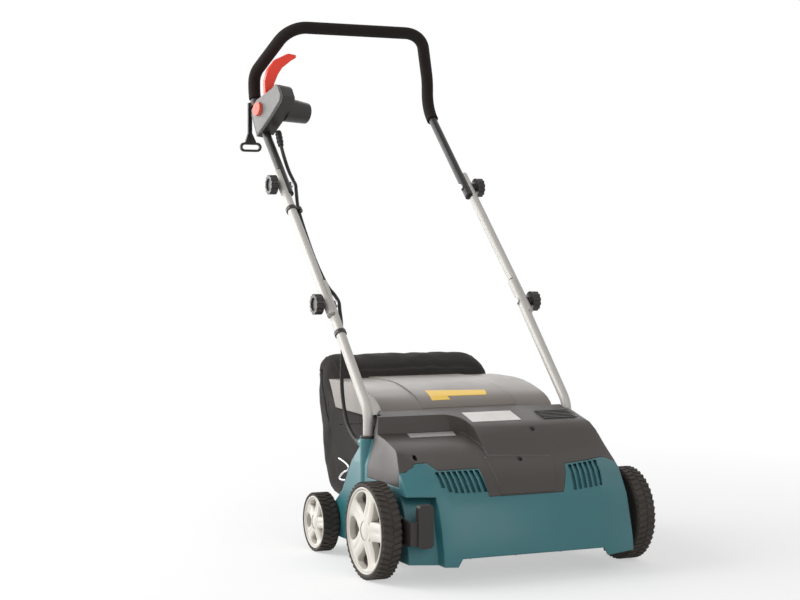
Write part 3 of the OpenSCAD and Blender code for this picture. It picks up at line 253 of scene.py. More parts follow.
def woven(name, colour):
    """Woven cloth whose threads follow the piece's own map, in metres."""
    f = Finish(name, colour, 0.85, gloss=0.15,
               sockets={"Sheen Weight": 0.06, "Sheen Roughness": 0.5})
    sheet = f.tree.nodes.new("ShaderNodeUVMap").outputs[0]
    threads = {"Vector": sheet, "Scale": 240.0, "Distortion": 0.6, "Detail": 1.0}
    warp, weft = (f.add("TexWave", threads, bands_direction=way).outputs["Fac"] for way in "XY")
    weave = f.add("Math", {0: warp, 1: weft}, operation="MULTIPLY").outputs[0]
    base = f.mottled(f.noise(7, 5), colour, 0.75, 1.3)
    raised = f.level(weave, 0.0, 0.45, start=0.0, end=1.0)
    f.link("Base Color", f.mix(raised, base, shade(colour, 2.2)))
    f.bump(weave, 0.5, depth=0.0005)
    return f.material


def make_finishes(look):
    """One material for each slot of the record, and for each film and thread laid on top."""
    rows = (
        ("teal_plastic", moulded, look.teal,
         dict(rough=0.36, pitch=1300, grain=0.12, wear=0.05, gloss=0.5, edge=0.0035)),
        ("dark_plastic", moulded, look.cover,
         dict(rough=0.42, pitch=1100, grain=0.18, mottle=0.06, wear=0.05, gloss=0.42, edge=0.003)),
        ("silver_plate", metal, tint(212, 209, 205),
         dict(rough=0.5, streak=(2, 260, 260), amount=0.3)),
        ("black_steel", coated, (0.028, 0.028, 0.03), dict(rough=0.4)),
        ("motor_steel", coated, (0.11, 0.11, 0.12), dict(rough=0.4)),
        ("copper_core", metal, (0.5, 0.25, 0.13), dict(rough=0.35, streak=(300, 20, 20))),
        ("bright_steel", metal, (0.62, 0.62, 0.63), dict(rough=0.3, streak=(4, 240, 240))),
        ("blade_steel", metal, (0.5, 0.5, 0.52), dict(rough=0.36, streak=(300, 6, 300))),
        ("belt_rubber", rubber, (0.02, 0.02, 0.02), dict(rough=0.7)),
        ("black_plastic", moulded, look.black,
         dict(rough=0.4, grain=0.15, mottle=0.08, wear=0.12, gloss=0.4)),
        ("pale_plastic", moulded, look.rim,
         dict(rough=0.4, pitch=1200, grain=0.15, mottle=0.04, wear=0.1)),
        ("tyre_rubber", rubber, look.tyre, dict(rough=0.72, pitch=300, grain=0.35)),
        ("grey_plastic", moulded, look.flap,
         dict(rough=0.36, pitch=1000, grain=0.18, wear=0.06, gloss=0.45, edge=0.002)),
        ("silver_tube", coated, look.tube, dict(rough=0.48, amount=0.25, grain=0.03)),
        ("black_tube", coated, (0.02, 0.019, 0.018), dict(rough=0.34)),
        ("grip_foam", foam, look.foam, {}),
        ("mid_grey_plastic", moulded, tint(114, 113, 111),
         dict(rough=0.4, pitch=1300, grain=0.3, mottle=0.04, wear=0.15)),
        ("brass_pins", metal, (0.75, 0.66, 0.42), dict(rough=0.28)),
        ("red_plastic", moulded, look.lever, dict(rough=0.3, pitch=900, grain=0.08, wear=0.25)),
        ("coral_plastic", moulded, look.button, dict(rough=0.34, pitch=900, grain=0.08)),
        ("cable_rubber", rubber, (0.022, 0.021, 0.02), dict(rough=0.5, pitch=500, grain=0.15)),
        ("bag_fabric", woven, look.cloth, {}),
        ("patch_film", moulded, look.patch,
         dict(rough=0.42, pitch=900, grain=0.04, mottle=0.03, wear=0.05, gloss=0.4)),
        ("label_film", metal, tint(190, 187, 184),
         dict(rough=0.4, streak=(2, 180, 180), grain=0.04, amount=0.4)),
        ("seam_thread", rubber, shade(look.cloth, 2.6), dict(rough=0.8, pitch=900, grain=0.2)),
    )
    return {name: make(name, colour, **values) for name, make, colour, values in rows}


# Meshes


SAME_POINT = 1e-6
SAME_CAD_POINT = 2e-5
SAME_PLANE = math.radians(0.6)


def piece(name, mesh, slot, body, replaces=(), finish=None):
    """Object made of a mesh that is already in place, with its finish, riding on a body."""
    made = bpy.data.objects.new(name, mesh)
    bpy.context.scene.collection.objects.link(made)
    mesh.materials.clear()
    mesh.materials.append(FINISHES[finish or slot])
    if body:
        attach(made, body)
    if replaces:
        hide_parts(*replaces)
    return made


def shade_to(mesh, smooth):
    """Shades a mesh smooth, apart from edges that turn by more than an angle in degrees."""
    mesh.shade_smooth()
    mesh.set_sharp_from_angle(angle=math.radians(smooth))


def settle(mesh, smooth):
    """Joins doubled points, turns the faces outwards and shades them smooth up to an angle."""
    form = bmesh.new()
    form.from_mesh(mesh)
    bmesh.ops.remove_doubles(form, verts=form.verts, dist=SAME_POINT)
    bmesh.ops.recalc_face_normals(form, faces=form.faces)
    form.to_mesh(mesh)
    form.free()
    shade_to(mesh, smooth)


def mesh_of(name, points, faces, smooth=35):
    """Mesh of points and faces, turned outwards and shaded smooth up to an angle."""
    mesh = bpy.data.meshes.new(name)
    mesh.from_pydata([tuple(p) for p in points], [], faces)
    settle(mesh, smooth)
    return mesh


def refined(node, edge, smooth=32):
    """Copy of a CAD node with joined faces and rounded edges, which stands for it."""
    mesh = NODES[node].data.copy()
    mesh.name = node + "_fine"
    if "custom_normal" in mesh.attributes:
        mesh.attributes.remove(mesh.attributes["custom_normal"])
    form = bmesh.new()
    form.from_mesh(mesh)
    bmesh.ops.remove_doubles(form, verts=form.verts, dist=SAME_CAD_POINT)
    bmesh.ops.dissolve_degenerate(form, edges=form.edges, dist=SAME_CAD_POINT)
    bmesh.ops.dissolve_limit(form, angle_limit=SAME_PLANE, verts=form.verts, edges=form.edges)
    bmesh.ops.connect_verts_concave(form, faces=form.faces)
    form.to_mesh(mesh)
    form.free()
    shade_to(mesh, smooth)
    made = piece(node + "_fine", mesh, SLOT[node], BODY[node], [node])
    bevel = made.modifiers.new("Edges", "BEVEL")
    bevel.width = edge / 1000
    bevel.segments = 2
    bevel.limit_method = "ANGLE"
    bevel.angle_limit = math.radians(smooth)
    bevel.harden_normals = True
    bevel.use_clamp_overlap = True
    bevel.miter_outer = "MITER_ARC"


def eased(points, steps):
    """Smooth line through a few points."""
    p = [np.array(q, float) for q in points]
    line = []
    for i in range(len(p) - 1):
        a, b, c, d = p[max(i - 1, 0)], p[i], p[i + 1], p[min(i + 2, len(p) - 1)]
        for k in range(steps):
            t = k / steps
            line.append(0.5 * (2 * b + (c - a) * t + (2 * a - 5 * b + 4 * c - d) * t * t
                               + (3 * b - a - 3 * c + d) * t ** 3))
    return np.array(line + [p[-1]])


def grid(rows, columns, width):
    """Four-sided faces between neighbouring rows of points, each row a width long."""
    return [(i * width + k, i * width + k + 1, (i + 1) * width + k + 1, (i + 1) * width + k)
            for i in range(rows) for k in range(columns)]


def tube_mesh(name, line, radius, sides):
    """Tube along a line, with flat ends."""
    line = np.array(line, float)
    count = len(line)
    ahead = np.vstack([line[1:], 2 * line[-1] - line[-2]])
    behind = np.vstack([2 * line[0] - line[1], line[:-1]])
    along = ahead - behind
    along /= np.linalg.norm(along, axis=1)[:, None]
    side = np.cross(along[0], [0.3, 0.2, 0.93])
    points, faces = [], []
    for i in range(count):
        side = side - along[i] * (side @ along[i])
        side /= np.linalg.norm(side)
        up = np.cross(along[i], side)
        for k in range(sides):
            turn = 2 * math.pi * k / sides
            points.append(line[i] + radius * (math.cos(turn) * side + math.sin(turn) * up))
    for i in range(count - 1):
        j = i + 1
        for k in range(sides):
            m = (k + 1) % sides
            faces.append((i * sides + k, i * sides + m, j * sides + m, j * sides + k))
    faces.append(tuple(range(sides)))
    faces.append(tuple((count - 1) * sides + k for k in range(sides)))
    return mesh_of(name, points, faces)


def spun(profile, steps):
    """Points and faces of a closed profile of radius and depth, turned round the depth axis."""
    count = len(profile)
    points = [(r * math.cos(2 * math.pi * i / steps), r * math.sin(2 * math.pi * i / steps), d)
              for i in range(steps) for r, d in profile]
    faces = [(i * count + k, i * count + (k + 1) % count,
              (i + 1) % steps * count + (k + 1) % count, (i + 1) % steps * count + k)
             for i in range(steps) for k in range(count)]
    return points, faces


class Pattern:
    """Geometry nodes that repeat a small shape along a rule, and the plain mesh they make."""

    def __init__(self, name, base, **sizes):
        self.tree = bpy.data.node_groups.new(name, "GeometryNodeTree")
        self.base = base
        ports = self.tree.interface
        ports.new_socket("Base", in_out="INPUT", socket_type="NodeSocketGeometry")
        ports.new_socket("Pattern", in_out="OUTPUT", socket_type="NodeSocketGeometry")
        self.values = {}
        for key, value in sizes.items():
            kind = "NodeSocketInt" if isinstance(value, int) else "NodeSocketFloat"
            port = ports.new_socket(key, in_out="INPUT", socket_type=kind)
            self.values[port.identifier] = value
        self.given = self.tree.nodes.new("NodeGroupInput").outputs

    def add(self, kind, inputs, **settings):
        """First output of a new node."""
        return add_node(self.tree, kind, inputs, **settings).outputs[0]

    def math(self, operation, a, b):
        return self.add("ShaderNodeMath", {0: a, 1: b}, operation=operation)

    def vector(self, x, y, z):
        return self.add("ShaderNodeCombineXYZ", {"X": x, "Y": y, "Z": z})

    def repeat(self, points, shape, rotation):
        return self.add("GeometryNodeInstanceOnPoints",
                        {"Points": points, "Instance": shape, "Rotation": rotation})

    def join(self, *parts):
        node = self.tree.nodes.new("GeometryNodeJoinGeometry")
        for part in parts:
            self.tree.links.new(part, node.inputs[0])
        return node.outputs[0]

    def mesh(self, result, finish):
        """Plain mesh of the whole pattern."""
        real = self.add("GeometryNodeRealizeInstances", {"Geometry": result})
        dyed = self.add("GeometryNodeSetMaterial", {"Geometry": real, "Material": FINISHES[finish]})
        self.tree.links.new(dyed, self.tree.nodes.new("NodeGroupOutput").inputs[0])
        carrier = bpy.data.objects.new(self.tree.name, self.base)
        bpy.context.scene.collection.objects.link(carrier)
        modifier = carrier.modifiers.new("Pattern", "NODES")
        modifier.node_group = self.tree
        for identifier, value in self.values.items():
            modifier[identifier] = value
        ready = carrier.evaluated_get(bpy.context.evaluated_depsgraph_get())
        made = bpy.data.meshes.new_from_object(ready)
        bpy.data.objects.remove(carrier)
        return made


# Sizes and colours


def colour(name, what, red, green, blue):
    """Colour that a user can change."""
    return bpy.props.FloatVectorProperty(
        name=name, description="Colour of " + what, subtype="COLOR",
        default=tint(red, green, blue), min=0, max=1)


class DethatcherLooks(bpy.types.PropertyGroup):
    """Sizes and colours that a user would change."""

    teal: colour("Housing", "the lower housing", 46, 108, 114)
    cover: colour("Cover", "the top cover", 60, 54, 50)
    flap: colour("Flap", "the rear flap", 126, 119, 112)
    rim: colour("Rims", "the wheel rims", 214, 209, 200)
    tyre: colour("Tyres", "the tyres", 62, 57, 53)
    tube: colour("Tubes", "the lower and middle tubes", 188, 185, 180)
    foam: colour("Grip", "the foam grip", 34, 29, 27)
    lever: colour("Start lever", "the start lever", 255, 66, 44)
    button: colour("Lock button", "the lock button", 232, 98, 80)
    black: colour("Black plastic", "the knobs, collars and switch body", 46, 43, 41)
    cloth: colour("Collector cloth", "the collector's cloth", 42, 39, 37)
    patch: colour("Patch", "the plain patch on the flap", 255, 208, 84)
    edge: bpy.props.FloatProperty(
        name="Edge radius", description="Rounding of the housing's moulded edges, in millimetres",
        default=1.6, min=0.2, max=4.0)
    cable: bpy.props.FloatProperty(
        name="Cable diameter", description="Thickness of the motor cable", unit="LENGTH",
        default=0.0074, min=0.004, max=0.01)


def look():
    return bpy.context.scene.dethatcher_looks


# Wheels


Wheel = namedtuple("Wheel", "end rim radius width hub lugs face y")
WHEELS = (Wheel("front", rim=77, radius=86, width=38, hub=17, lugs=46, face=275, y=0),
          Wheel("rear", rim=50, radius=56, width=32, hub=13, lugs=32, face=254, y=288))
SPOKES = 5
SPOKE_TURN = math.radians(32)
SPOKE_ACROSS = 12


def on_axle(points, side, centre):
    """Places of points of a wheel, whose depth is measured inwards from its outer face."""
    return [at(centre[0] - side * d, centre[1] - side * x, centre[2] + y) for x, y, d in points]


def rim_mesh(name, wheel, side, centre):
    """Dished rim with wide spokes between rounded windows, seen from its outer face."""
    radius, width, hub = wheel.rim, wheel.width, wheel.hub
    barrel = [(radius, 2.2), (radius - 0.8, 0.9), (radius - 2.2, 0.5), (radius - 3.6, 1.2),
              (radius - 4.6, 3.5), (radius - 5.2, 9), (radius - 5.4, 14),
              (radius - 4.4, width - 4), (radius - 3, width - 2.5), (radius, width - 3)]
    points, faces = spun(barrel, steps=90)
    outer, inner = radius - 5.0, hub
    low, high = inner + 0.12 * (outer - inner), outer - 0.055 * (outer - inner)
    corners = [low + (high - low) * k for k in (0.004, 0.015, 0.03, 0.97, 0.985, 0.996)]
    rows = sorted(set(list(np.linspace(inner, low, 4)) + list(np.linspace(low, high, 26))
                      + corners + list(np.linspace(high, outer, 3))))
    half_turn = math.pi / SPOKES
    top, under = [], []
    for s in range(SPOKES):
        for r in rows:
            rise = (r - inner) / (outer - inner)
            t = (r - (low + high) / 2) / ((high - low) / 2)
            window = max(0.0, 1 - abs(t) ** 5) ** 0.34 if abs(t) < 1 else 0.0
            spoke = math.asin(min(0.98, radius * (0.2 + 0.03 * (1 - rise)) / r))
            edge = half_turn - max(0.0, half_turn - spoke) * window
            dish = (2.2 + 2.4 * math.sin(min(1, rise / 0.75) * math.pi / 2) ** 1.3
                    - 1.8 * max(0, rise - 0.72) / 0.28)
            brow = (1.6 + 2.4 * (1 - abs(2 * rise - 1))) * min(1, window * 1.2)
            for k in range(-SPOKE_ACROSS, SPOKE_ACROSS + 1):
                c = k / SPOKE_ACROSS
                swing = 2 * math.pi * s / SPOKES + SPOKE_TURN + c * edge
                groove = 1.3 * math.exp(-(c / 0.22) ** 2) * math.sin(math.pi * rise)
                depth = dish + brow * abs(c) ** 4 + groove
                for layer, sink in ((top, 0.0), (under, 0.32 * width)):
                    layer.append((r * math.cos(swing), r * math.sin(swing), depth + sink))
    count = 2 * SPOKE_ACROSS + 1
    start = len(points)
    points += top + under
    shift = len(top)
    for s in range(SPOKES):
        base = start + s * len(rows) * count
        for i in range(len(rows) - 1):
            for k in range(count - 1):
                q = (base + i * count + k, base + i * count + k + 1,
                     base + (i + 1) * count + k + 1, base + (i + 1) * count + k)
                faces.append(q)
                faces.append(tuple(v + shift for v in reversed(q)))
            if low - 1e-6 <= rows[i] and rows[i + 1] <= high + 1e-6:
                for k in (0, count - 1):
                    a, b = base + i * count + k, base + (i + 1) * count + k
                    faces.append((a, b, b + shift, a + shift))
    cap = [(0.01, 0.8), (hub * 0.35, 0.95), (hub * 0.62, 1.5), (hub * 0.85, 2.4),
           (hub + 0.3, 3.4), (hub - 0.5, width - 3), (7, width - 3), (7, 8), (0.01, 8)]
    cap_points, cap_faces = spun(cap, steps=60)
    start = len(points)
    points += cap_points
    faces += [tuple(v + start for v in face) for face in cap_faces]
    return mesh_of(name, on_axle(points, side, centre), faces, smooth=40)


def tyre_mesh(name, wheel, side, centre):
    """Tyre and its inner web, with two rows of slanted tread blocks laid by geometry nodes."""
    rim, hub, width = wheel.rim, wheel.hub, wheel.width
    tread = wheel.radius - 1.7
    # The last five points of the section close the wheel's inner side with a web of dark tyre
    # rubber: a sheet that stands in for the shade inside the wheel, seen through the rim's windows
    # (painted shade).
    section = [(rim, 1.6), (rim + 1.4, 0.4), (rim + 4.2, 0.2), (tread - 1.6, 1.2),
               (tread - 0.3, 3.0), (tread, 5.5), (tread, width - 5.5), (tread - 0.3, width - 3.0),
               (tread - 1.6, width - 1.2), (rim + 4.2, width - 0.2), (rim + 0.2, width - 0.6),
               (rim - 6, width - 2.2), (hub, width - 4), (hub, width - 7), (rim - 6, width - 5.5),
               (rim - 0.4, width - 5)]
    carcass = mesh_of(name + "_carcass", *spun(section, steps=96), smooth=50)
    p = Pattern(name, carcass, Lugs=wheel.lugs, Tread=tread + 0.2, Height=2.9, Slant=0.3,
                Row=width * 0.245, Middle=width / 2)
    length = p.math("DIVIDE", p.math("MULTIPLY", p.given["Tread"], 3.7), p.given["Lugs"])
    broad = p.math("MULTIPLY", p.given["Row"], 1.72)
    block = p.add("GeometryNodeMeshCube", {"Size": p.vector(p.given["Height"], length, broad)})
    ring = p.add("GeometryNodeMeshCircle",
                 {"Vertices": p.given["Lugs"], "Radius": p.given["Tread"]})
    place = add_node(p.tree, "ShaderNodeSeparateXYZ",
                     {0: p.add("GeometryNodeInputPosition", {})}).outputs
    swing = p.math("ARCTAN2", place["Y"], place["X"])
    rows = []
    for hand in (-1.0, 1.0):
        turn = p.vector(p.math("MULTIPLY", p.given["Slant"], hand), 0.0, swing)
        row = p.repeat(ring, block, turn)
        rise = p.math("ADD", p.given["Middle"], p.math("MULTIPLY", p.given["Row"], hand))
        half = p.math("MULTIPLY", p.math("DIVIDE", math.pi / 2, p.given["Lugs"]), hand)
        rows.append(p.add("GeometryNodeTransform",
                          {"Geometry": row, "Translation": p.vector(0.0, 0.0, rise),
                           "Rotation": p.vector(0.0, 0.0, half)}))
    mesh = p.mesh(p.join(p.given["Base"], *rows), "tyre_rubber")
    placed = on_axle([v.co for v in mesh.vertices], side, centre)
    for vertex, spot in zip(mesh.vertices, placed):
        vertex.co = spot
    settle(mesh, smooth=40)
    return mesh


class DETHATCHER_OT_wheels(bpy.types.Operator):
    """Four dished rims and their tyres"""
    bl_idname = "dethatcher.wheels"
    bl_label = "Wheels"

    def execute(self, context):
        for wheel in WHEELS:
            for hand, side in SIDES:
                centre = (side * wheel.face, wheel.y, wheel.radius)
                for kind, suffix, make in (("rim", "_dished", rim_mesh),
                                           ("tyre", "_treaded", tyre_mesh)):
                    node = f"{wheel.end}_{kind}_{hand}"
                    mesh = make(node + suffix, wheel, side, centre)
                    piece(node + suffix, mesh, SLOT[node], BODY[node], [node])
        return {"FINISHED"}


# Housing and cover


FRONT_LINE = ((137, -97), (158, -82), (178, -64), (192, -45), (202, -30))
BAFFLE_BACK = 10
BAFFLES = (("left", (-166, -68), (147, 193)), ("right", (94, 172), (144, 198)))
DECK_FRONT, DECK_REAR = (36, 255), (127, 280)
SHELF = ((10, 226), (60, 237), (95, 242.5))
LABEL = ((-154, 65), (-62, 65), (-56, 91), (-149, 91))
GRILLE_X, GRILLE_Y, GRILLE_FINS = (116, 190), (57, 98), 6
FILM_RISE, PANEL_RISE, FIN_RISE = 0.3, 0.35, 0.8


def height(line, y):
    """Second value of an open outline of points at its first, as Z at a depth Y."""
    return float(np.interp(y, [q[0] for q in line], [q[1] for q in line]))


def deck(y):
    """Height of the hump's top."""
    return height((DECK_FRONT, DECK_REAR), y)


def box(across, along):
    """Four corners of a rectangle."""
    (x0, x1), (y0, y1) = across, along
    return (x0, y0), (x1, y0), (x1, y1), (x0, y1)


def film(name, corners, surface, thick, cells=8, upright=False):
    """Thin film between four corners of (X, Y) on a surface, or of (X, Z) on an upright wall."""
    a, b, c, d = (np.array(q, float) for q in corners)
    points = []
    for i in range(cells + 1):
        for k in range(cells + 1):
            u, v = i / cells, k / cells
            x, y = (1 - v) * ((1 - u) * a + u * b) + v * ((1 - u) * d + u * c)
            points.append((x, y, surface(y)))
    n = cells + 1
    count = len(points)
    faces = grid(cells, cells, n)
    under = [(x, y, z - thick) for x, y, z in points]
    faces += [tuple(v + count for v in reversed(face)) for face in faces]
    rim = [(0, k) for k in range(cells)] + [(i, cells) for i in range(cells)]
    rim += [(cells, cells - k) for k in range(cells)] + [(cells - i, 0) for i in range(cells)]
    ring = [i * n + k for i, k in rim]
    faces += [(p, q, q + count, p + count) for p, q in zip(ring, ring[1:] + ring[:1])]
    placed = [at(x, z, y) if upright else at(x, y, z) for x, y, z in points + under]
    return mesh_of(name, placed, faces, smooth=30)


def grille_mesh(name):
    """Sunk panel with fins across it, laid by geometry nodes."""
    (x0, x1), (y0, y1) = GRILLE_X, GRILLE_Y
    pitch = (y1 - y0) / GRILLE_FINS
    slope = math.atan2(DECK_REAR[1] - DECK_FRONT[1], DECK_REAR[0] - DECK_FRONT[0])
    panel = film(name + "_panel", box(GRILLE_X, GRILLE_Y), lambda y: deck(y) + PANEL_RISE,
                 thick=1.5)
    p = Pattern(name, panel, Fins=GRILLE_FINS, Pitch=pitch / 1000, Length=(x1 - x0 - 5) / 1000,
                Thickness=0.0022, Height=0.0030)
    start = at((x0 + x1) / 2, y0 + pitch / 2, deck(y0 + pitch / 2) + FIN_RISE)
    step = p.vector(0.0, p.given["Pitch"], p.math("MULTIPLY", p.given["Pitch"], math.tan(slope)))
    line = p.add("GeometryNodeMeshLine", {"Count": p.given["Fins"], "Offset": step,
                                          "Start Location": start}, mode="OFFSET")
    size = p.vector(p.given["Length"], p.given["Thickness"], p.given["Height"])
    fin = p.add("GeometryNodeMeshCube", {"Size": size})
    row = p.repeat(line, fin, (slope, 0, 0))
    mesh = p.mesh(p.join(p.given["Base"], row), "black_plastic")
    settle(mesh, smooth=30)
    return mesh


class DETHATCHER_OT_housing(bpy.types.Operator):
    """Lower housing, top cover, plate, screws, vent baffles, grille and label"""
    bl_idname = "dethatcher.housing"
    bl_label = "Housing"

    def execute(self, context):
        refined("lower_housing", edge=look().edge, smooth=30)
        refined("top_cover", edge=look().edge, smooth=30)
        refined("badge_plate", edge=0.3)
        refined("cover_screws", edge=0.3)
        for hand, across, rise in BAFFLES:
            name = "vent_baffle_" + hand
            baffle = film(name, box(across, rise),
                          lambda z: height(FRONT_LINE, z) + BAFFLE_BACK,
                          thick=1.2, upright=True)
            piece(name, baffle, "teal_plastic", "chassis")
        piece("grille_insert", grille_mesh("grille_insert"), "dark_plastic", "chassis",
              finish="black_plastic")
        label = film("shelf_label", LABEL, lambda y: height(SHELF, y) + FILM_RISE, thick=0.5)
        piece("shelf_label", label, "silver_plate", "chassis", finish="label_film")
        return {"FINISHED"}


# Drive, depth setting and flap


class DETHATCHER_OT_drive(bpy.types.Operator):
    """Reel, motor, drive and rear axle"""
    bl_idname = "dethatcher.drive"
    bl_label = "Reel and drive"

    def execute(self, context):
        for node in ("motor_case", "motor_rotor", "motor_pulley", "reel_shaft", "reel_spacers",
                     "reel_bearings", "reel_pulley", "rear_axle"):
            refined(node, edge=0.4)
        refined("reel_blades", edge=0.2)
        refined("drive_belt", edge=0.4)
        return {"FINISHED"}


class DETHATCHER_OT_depth_setting(bpy.types.Operator):
    """Cranked axle and depth lever"""
    bl_idname = "dethatcher.depth_setting"
    bl_label = "Depth setting"

    def execute(self, context):
        refined("front_axle", edge=0.4)
        refined("depth_lever", edge=2.0)
        return {"FINISHED"}


FLAP_LINE = ((137, 277.4), (142, 284), (153, 292), (168, 299), (185, 304), (204, 309), (225, 313.5))
FLAP_RISE = 2
PATCHES = (("upper", ((-67, 166), (53, 165), (61, 188), (-64, 196))),
           ("lower", ((-69, 153), (-30, 154), (-31, 166.2), (-67, 166.2))))


class DETHATCHER_OT_flap(bpy.types.Operator):
    """Rear flap with its plain patch, and the hinge pin"""
    bl_idname = "dethatcher.flap"
    bl_label = "Rear flap"

    def execute(self, context):
        refined("rear_flap", edge=0.8, smooth=30)
        for level, corners in PATCHES:
            name = "flap_patch_" + level
            mesh = film(name, corners, lambda y: height(FLAP_LINE, y) + FLAP_RISE + FILM_RISE,
                        thick=0.6, cells=12)
            piece(name, mesh, "grey_plastic", "flap", finish="patch_film")
        refined("flap_pin_rod", edge=0.3)
        return {"FINISHED"}


# Handle and controls


class DETHATCHER_OT_handle(bpy.types.Operator):
    """Tubes, foam grip, knobs, bolts and collars"""
    bl_idname = "dethatcher.handle"
    bl_label = "Handle"

    def execute(self, context):
        for hand, _ in SIDES:
            refined("lower_tube_" + hand, edge=0.4)
            NODES["middle_tube_" + hand].material_slots[0].material = FINISHES["silver_tube"]
            for level in ("low", "high"):
                refined(f"knob_{level}_{hand}", edge=0.7)
        refined("upper_tube", edge=0.3)
        refined("foam_grip", edge=1.5)
        refined("tube_collars", edge=0.8)
        refined("bolts_low", edge=0.5)
        refined("bolts_high", edge=0.5)
        return {"FINISHED"}


class DETHATCHER_OT_controls(bpy.types.Operator):
    """Switch box, start lever, lock button, inlet and cord hook"""
    bl_idname = "dethatcher.controls"
    bl_label = "Controls"

    def execute(self, context):
        refined("switch_front", edge=1.6)
        refined("switch_back", edge=2.0)
        refined("inlet_shroud", edge=1.0)
        refined("inlet_pins", edge=0.5)
        refined("switch_lever", edge=2.2, smooth=40)
        refined("lever_pin", edge=0.3)
        refined("lock_button", edge=2.0)
        refined("cord_hook", edge=1.2)
        return {"FINISHED"}


# Motor cable


CABLE_X = -188
TUBE_X = -220
KNEE = (131.0, 281.0)


def up_tube(start, length, lean):
    """(Y, Z) of the point a length up a tube that leans to the rear by an angle in degrees."""
    lean = math.radians(lean)
    return start[0] + length * math.sin(lean), start[1] + length * math.cos(lean)


def inside(depth, joint, dy, dz):
    """Point a depth inwards from the left tube, and off a joint by a step in Y and Z."""
    return depth + TUBE_X, joint[0] + dy, joint[1] + dz


JOINT_LOW = up_tube(KNEE, 265, 44.5)
JOINT_HIGH = up_tube(JOINT_LOW, 341, 46.8)
BOX_AT = up_tube(JOINT_HIGH, 184.7, 46.8)
RELIEF_Y, RELIEF_Z = BOX_AT[0] - 60, BOX_AT[1] - 43
GLAND = inside(14, KNEE, 34, -61)
ROUTE_UPPER = [(CABLE_X, RELIEF_Y + 2, RELIEF_Z + 4), (CABLE_X - 1, RELIEF_Y - 22, RELIEF_Z - 25)]
ROUTE_UPPER += [inside(depth, JOINT_HIGH, dy, dz) for depth, dy, dz in (
    (36, 39, 30), (39, 22, 11), (38, 5, 0), (34, -9, -13), (22, -52, -50), (20, -94, -95))]
ROUTE_LOWER = [ROUTE_UPPER[-1]]
ROUTE_LOWER += [inside(depth, JOINT_LOW, dy, dz) for depth, dy, dz in (
    (20, 113, 95), (20, 73, 60), (24, 43, 32), (31, 25, 16), (32, 7, 3), (29, -6, -13),
    (25, -23, -36))]
ROUTE_LOWER += [inside(depth, KNEE, dy, dz) for depth, dy, dz in (
    (17, 143, 128), (17, 137, 103), (17, 140, 65), (17, 138, 27), (17, 127, -9), (16, 109, -35),
    (15, 84, -51), (14, 66, -58))]
ROUTE_LOWER += [(GLAND[0], GLAND[1] + 14, GLAND[2])]
RUNS = (("motor_cable_upper", ROUTE_UPPER, "handle_upper", "handle_middle", JOINT_HIGH,
         ["cable_upper", "cable_middle"]),
        ("motor_cable_lower", ROUTE_LOWER, "handle_middle", "chassis", JOINT_LOW, ["cable_lower"]))


class DETHATCHER_OT_cable(bpy.types.Operator):
    """Motor cable from the switch box to the housing, with its relief, gland and clips"""
    bl_idname = "dethatcher.cable"
    bl_label = "Motor cable"

    def execute(self, context):
        for node in ("cable_relief", "cable_gland", "clip_middle", "clip_lower"):
            refined(node, edge=0.6)
        for name, route, upper, lower, joint, nodes in RUNS:
            line = np.array([at(*p) for p in eased(route, steps=10)])
            mesh = tube_mesh(name, line, look().cable / 2, sides=12)
            made = piece(name, mesh, "cable_rubber", None, nodes)
            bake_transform(made)
        return {"FINISHED"}


# Collector


BAG_LINE = [(172, 250), (180, 272), (204, 289), (262, 300), (368, 303), (386, 313), (401, 328),
            (419, 344), (440, 355), (462, 359), (480, 354), (490, 340), (488, 315), (480, 278),
            (469, 235), (457, 186), (445, 142), (432, 108), (416, 93), (394, 87), (352, 88),
            (322, 92), (308, 100)]
BAG_HALF = 172
BAG_HEART = np.array([392.0, 228.0])
BAG_ROUND = 34
BEND_STEPS, FLAT_COLUMNS, HEM_STEPS = 7, 60, 16
BAG_HELD_TO = 330
BAG_FREE_RUN = 70
BAG_RINGS = (0.94, 0.86, 0.76, 0.65, 0.53, 0.4, 0.27, 0.14, 0.03)
CORNER_SLUMP = np.array([17.0, -12.0, -11.0])
CLOTH_THICK = 0.0016
SEAM_COLUMN = 5
SEAM_FROM = 20
HOOK_X = -182
HOOK_LINE = [(333, 169), (318, 167), (296, 163), (285, 158), (290, 151), (306, 146), (320, 139),
             (330, 131), (318, 129), (300, 131)]
HOOK_RADIUS = 0.0021


def fold(x, y, z, size):
    """Soft swelling of the cloth, from -1 to 1."""
    return noise.noise(Vector((x, y, z)) / size)


def slack(y):
    """How freely the cloth stands at a depth: held by the frame in front, free at the rear."""
    return ramp(y, BAG_HELD_TO, BAG_FREE_RUN)


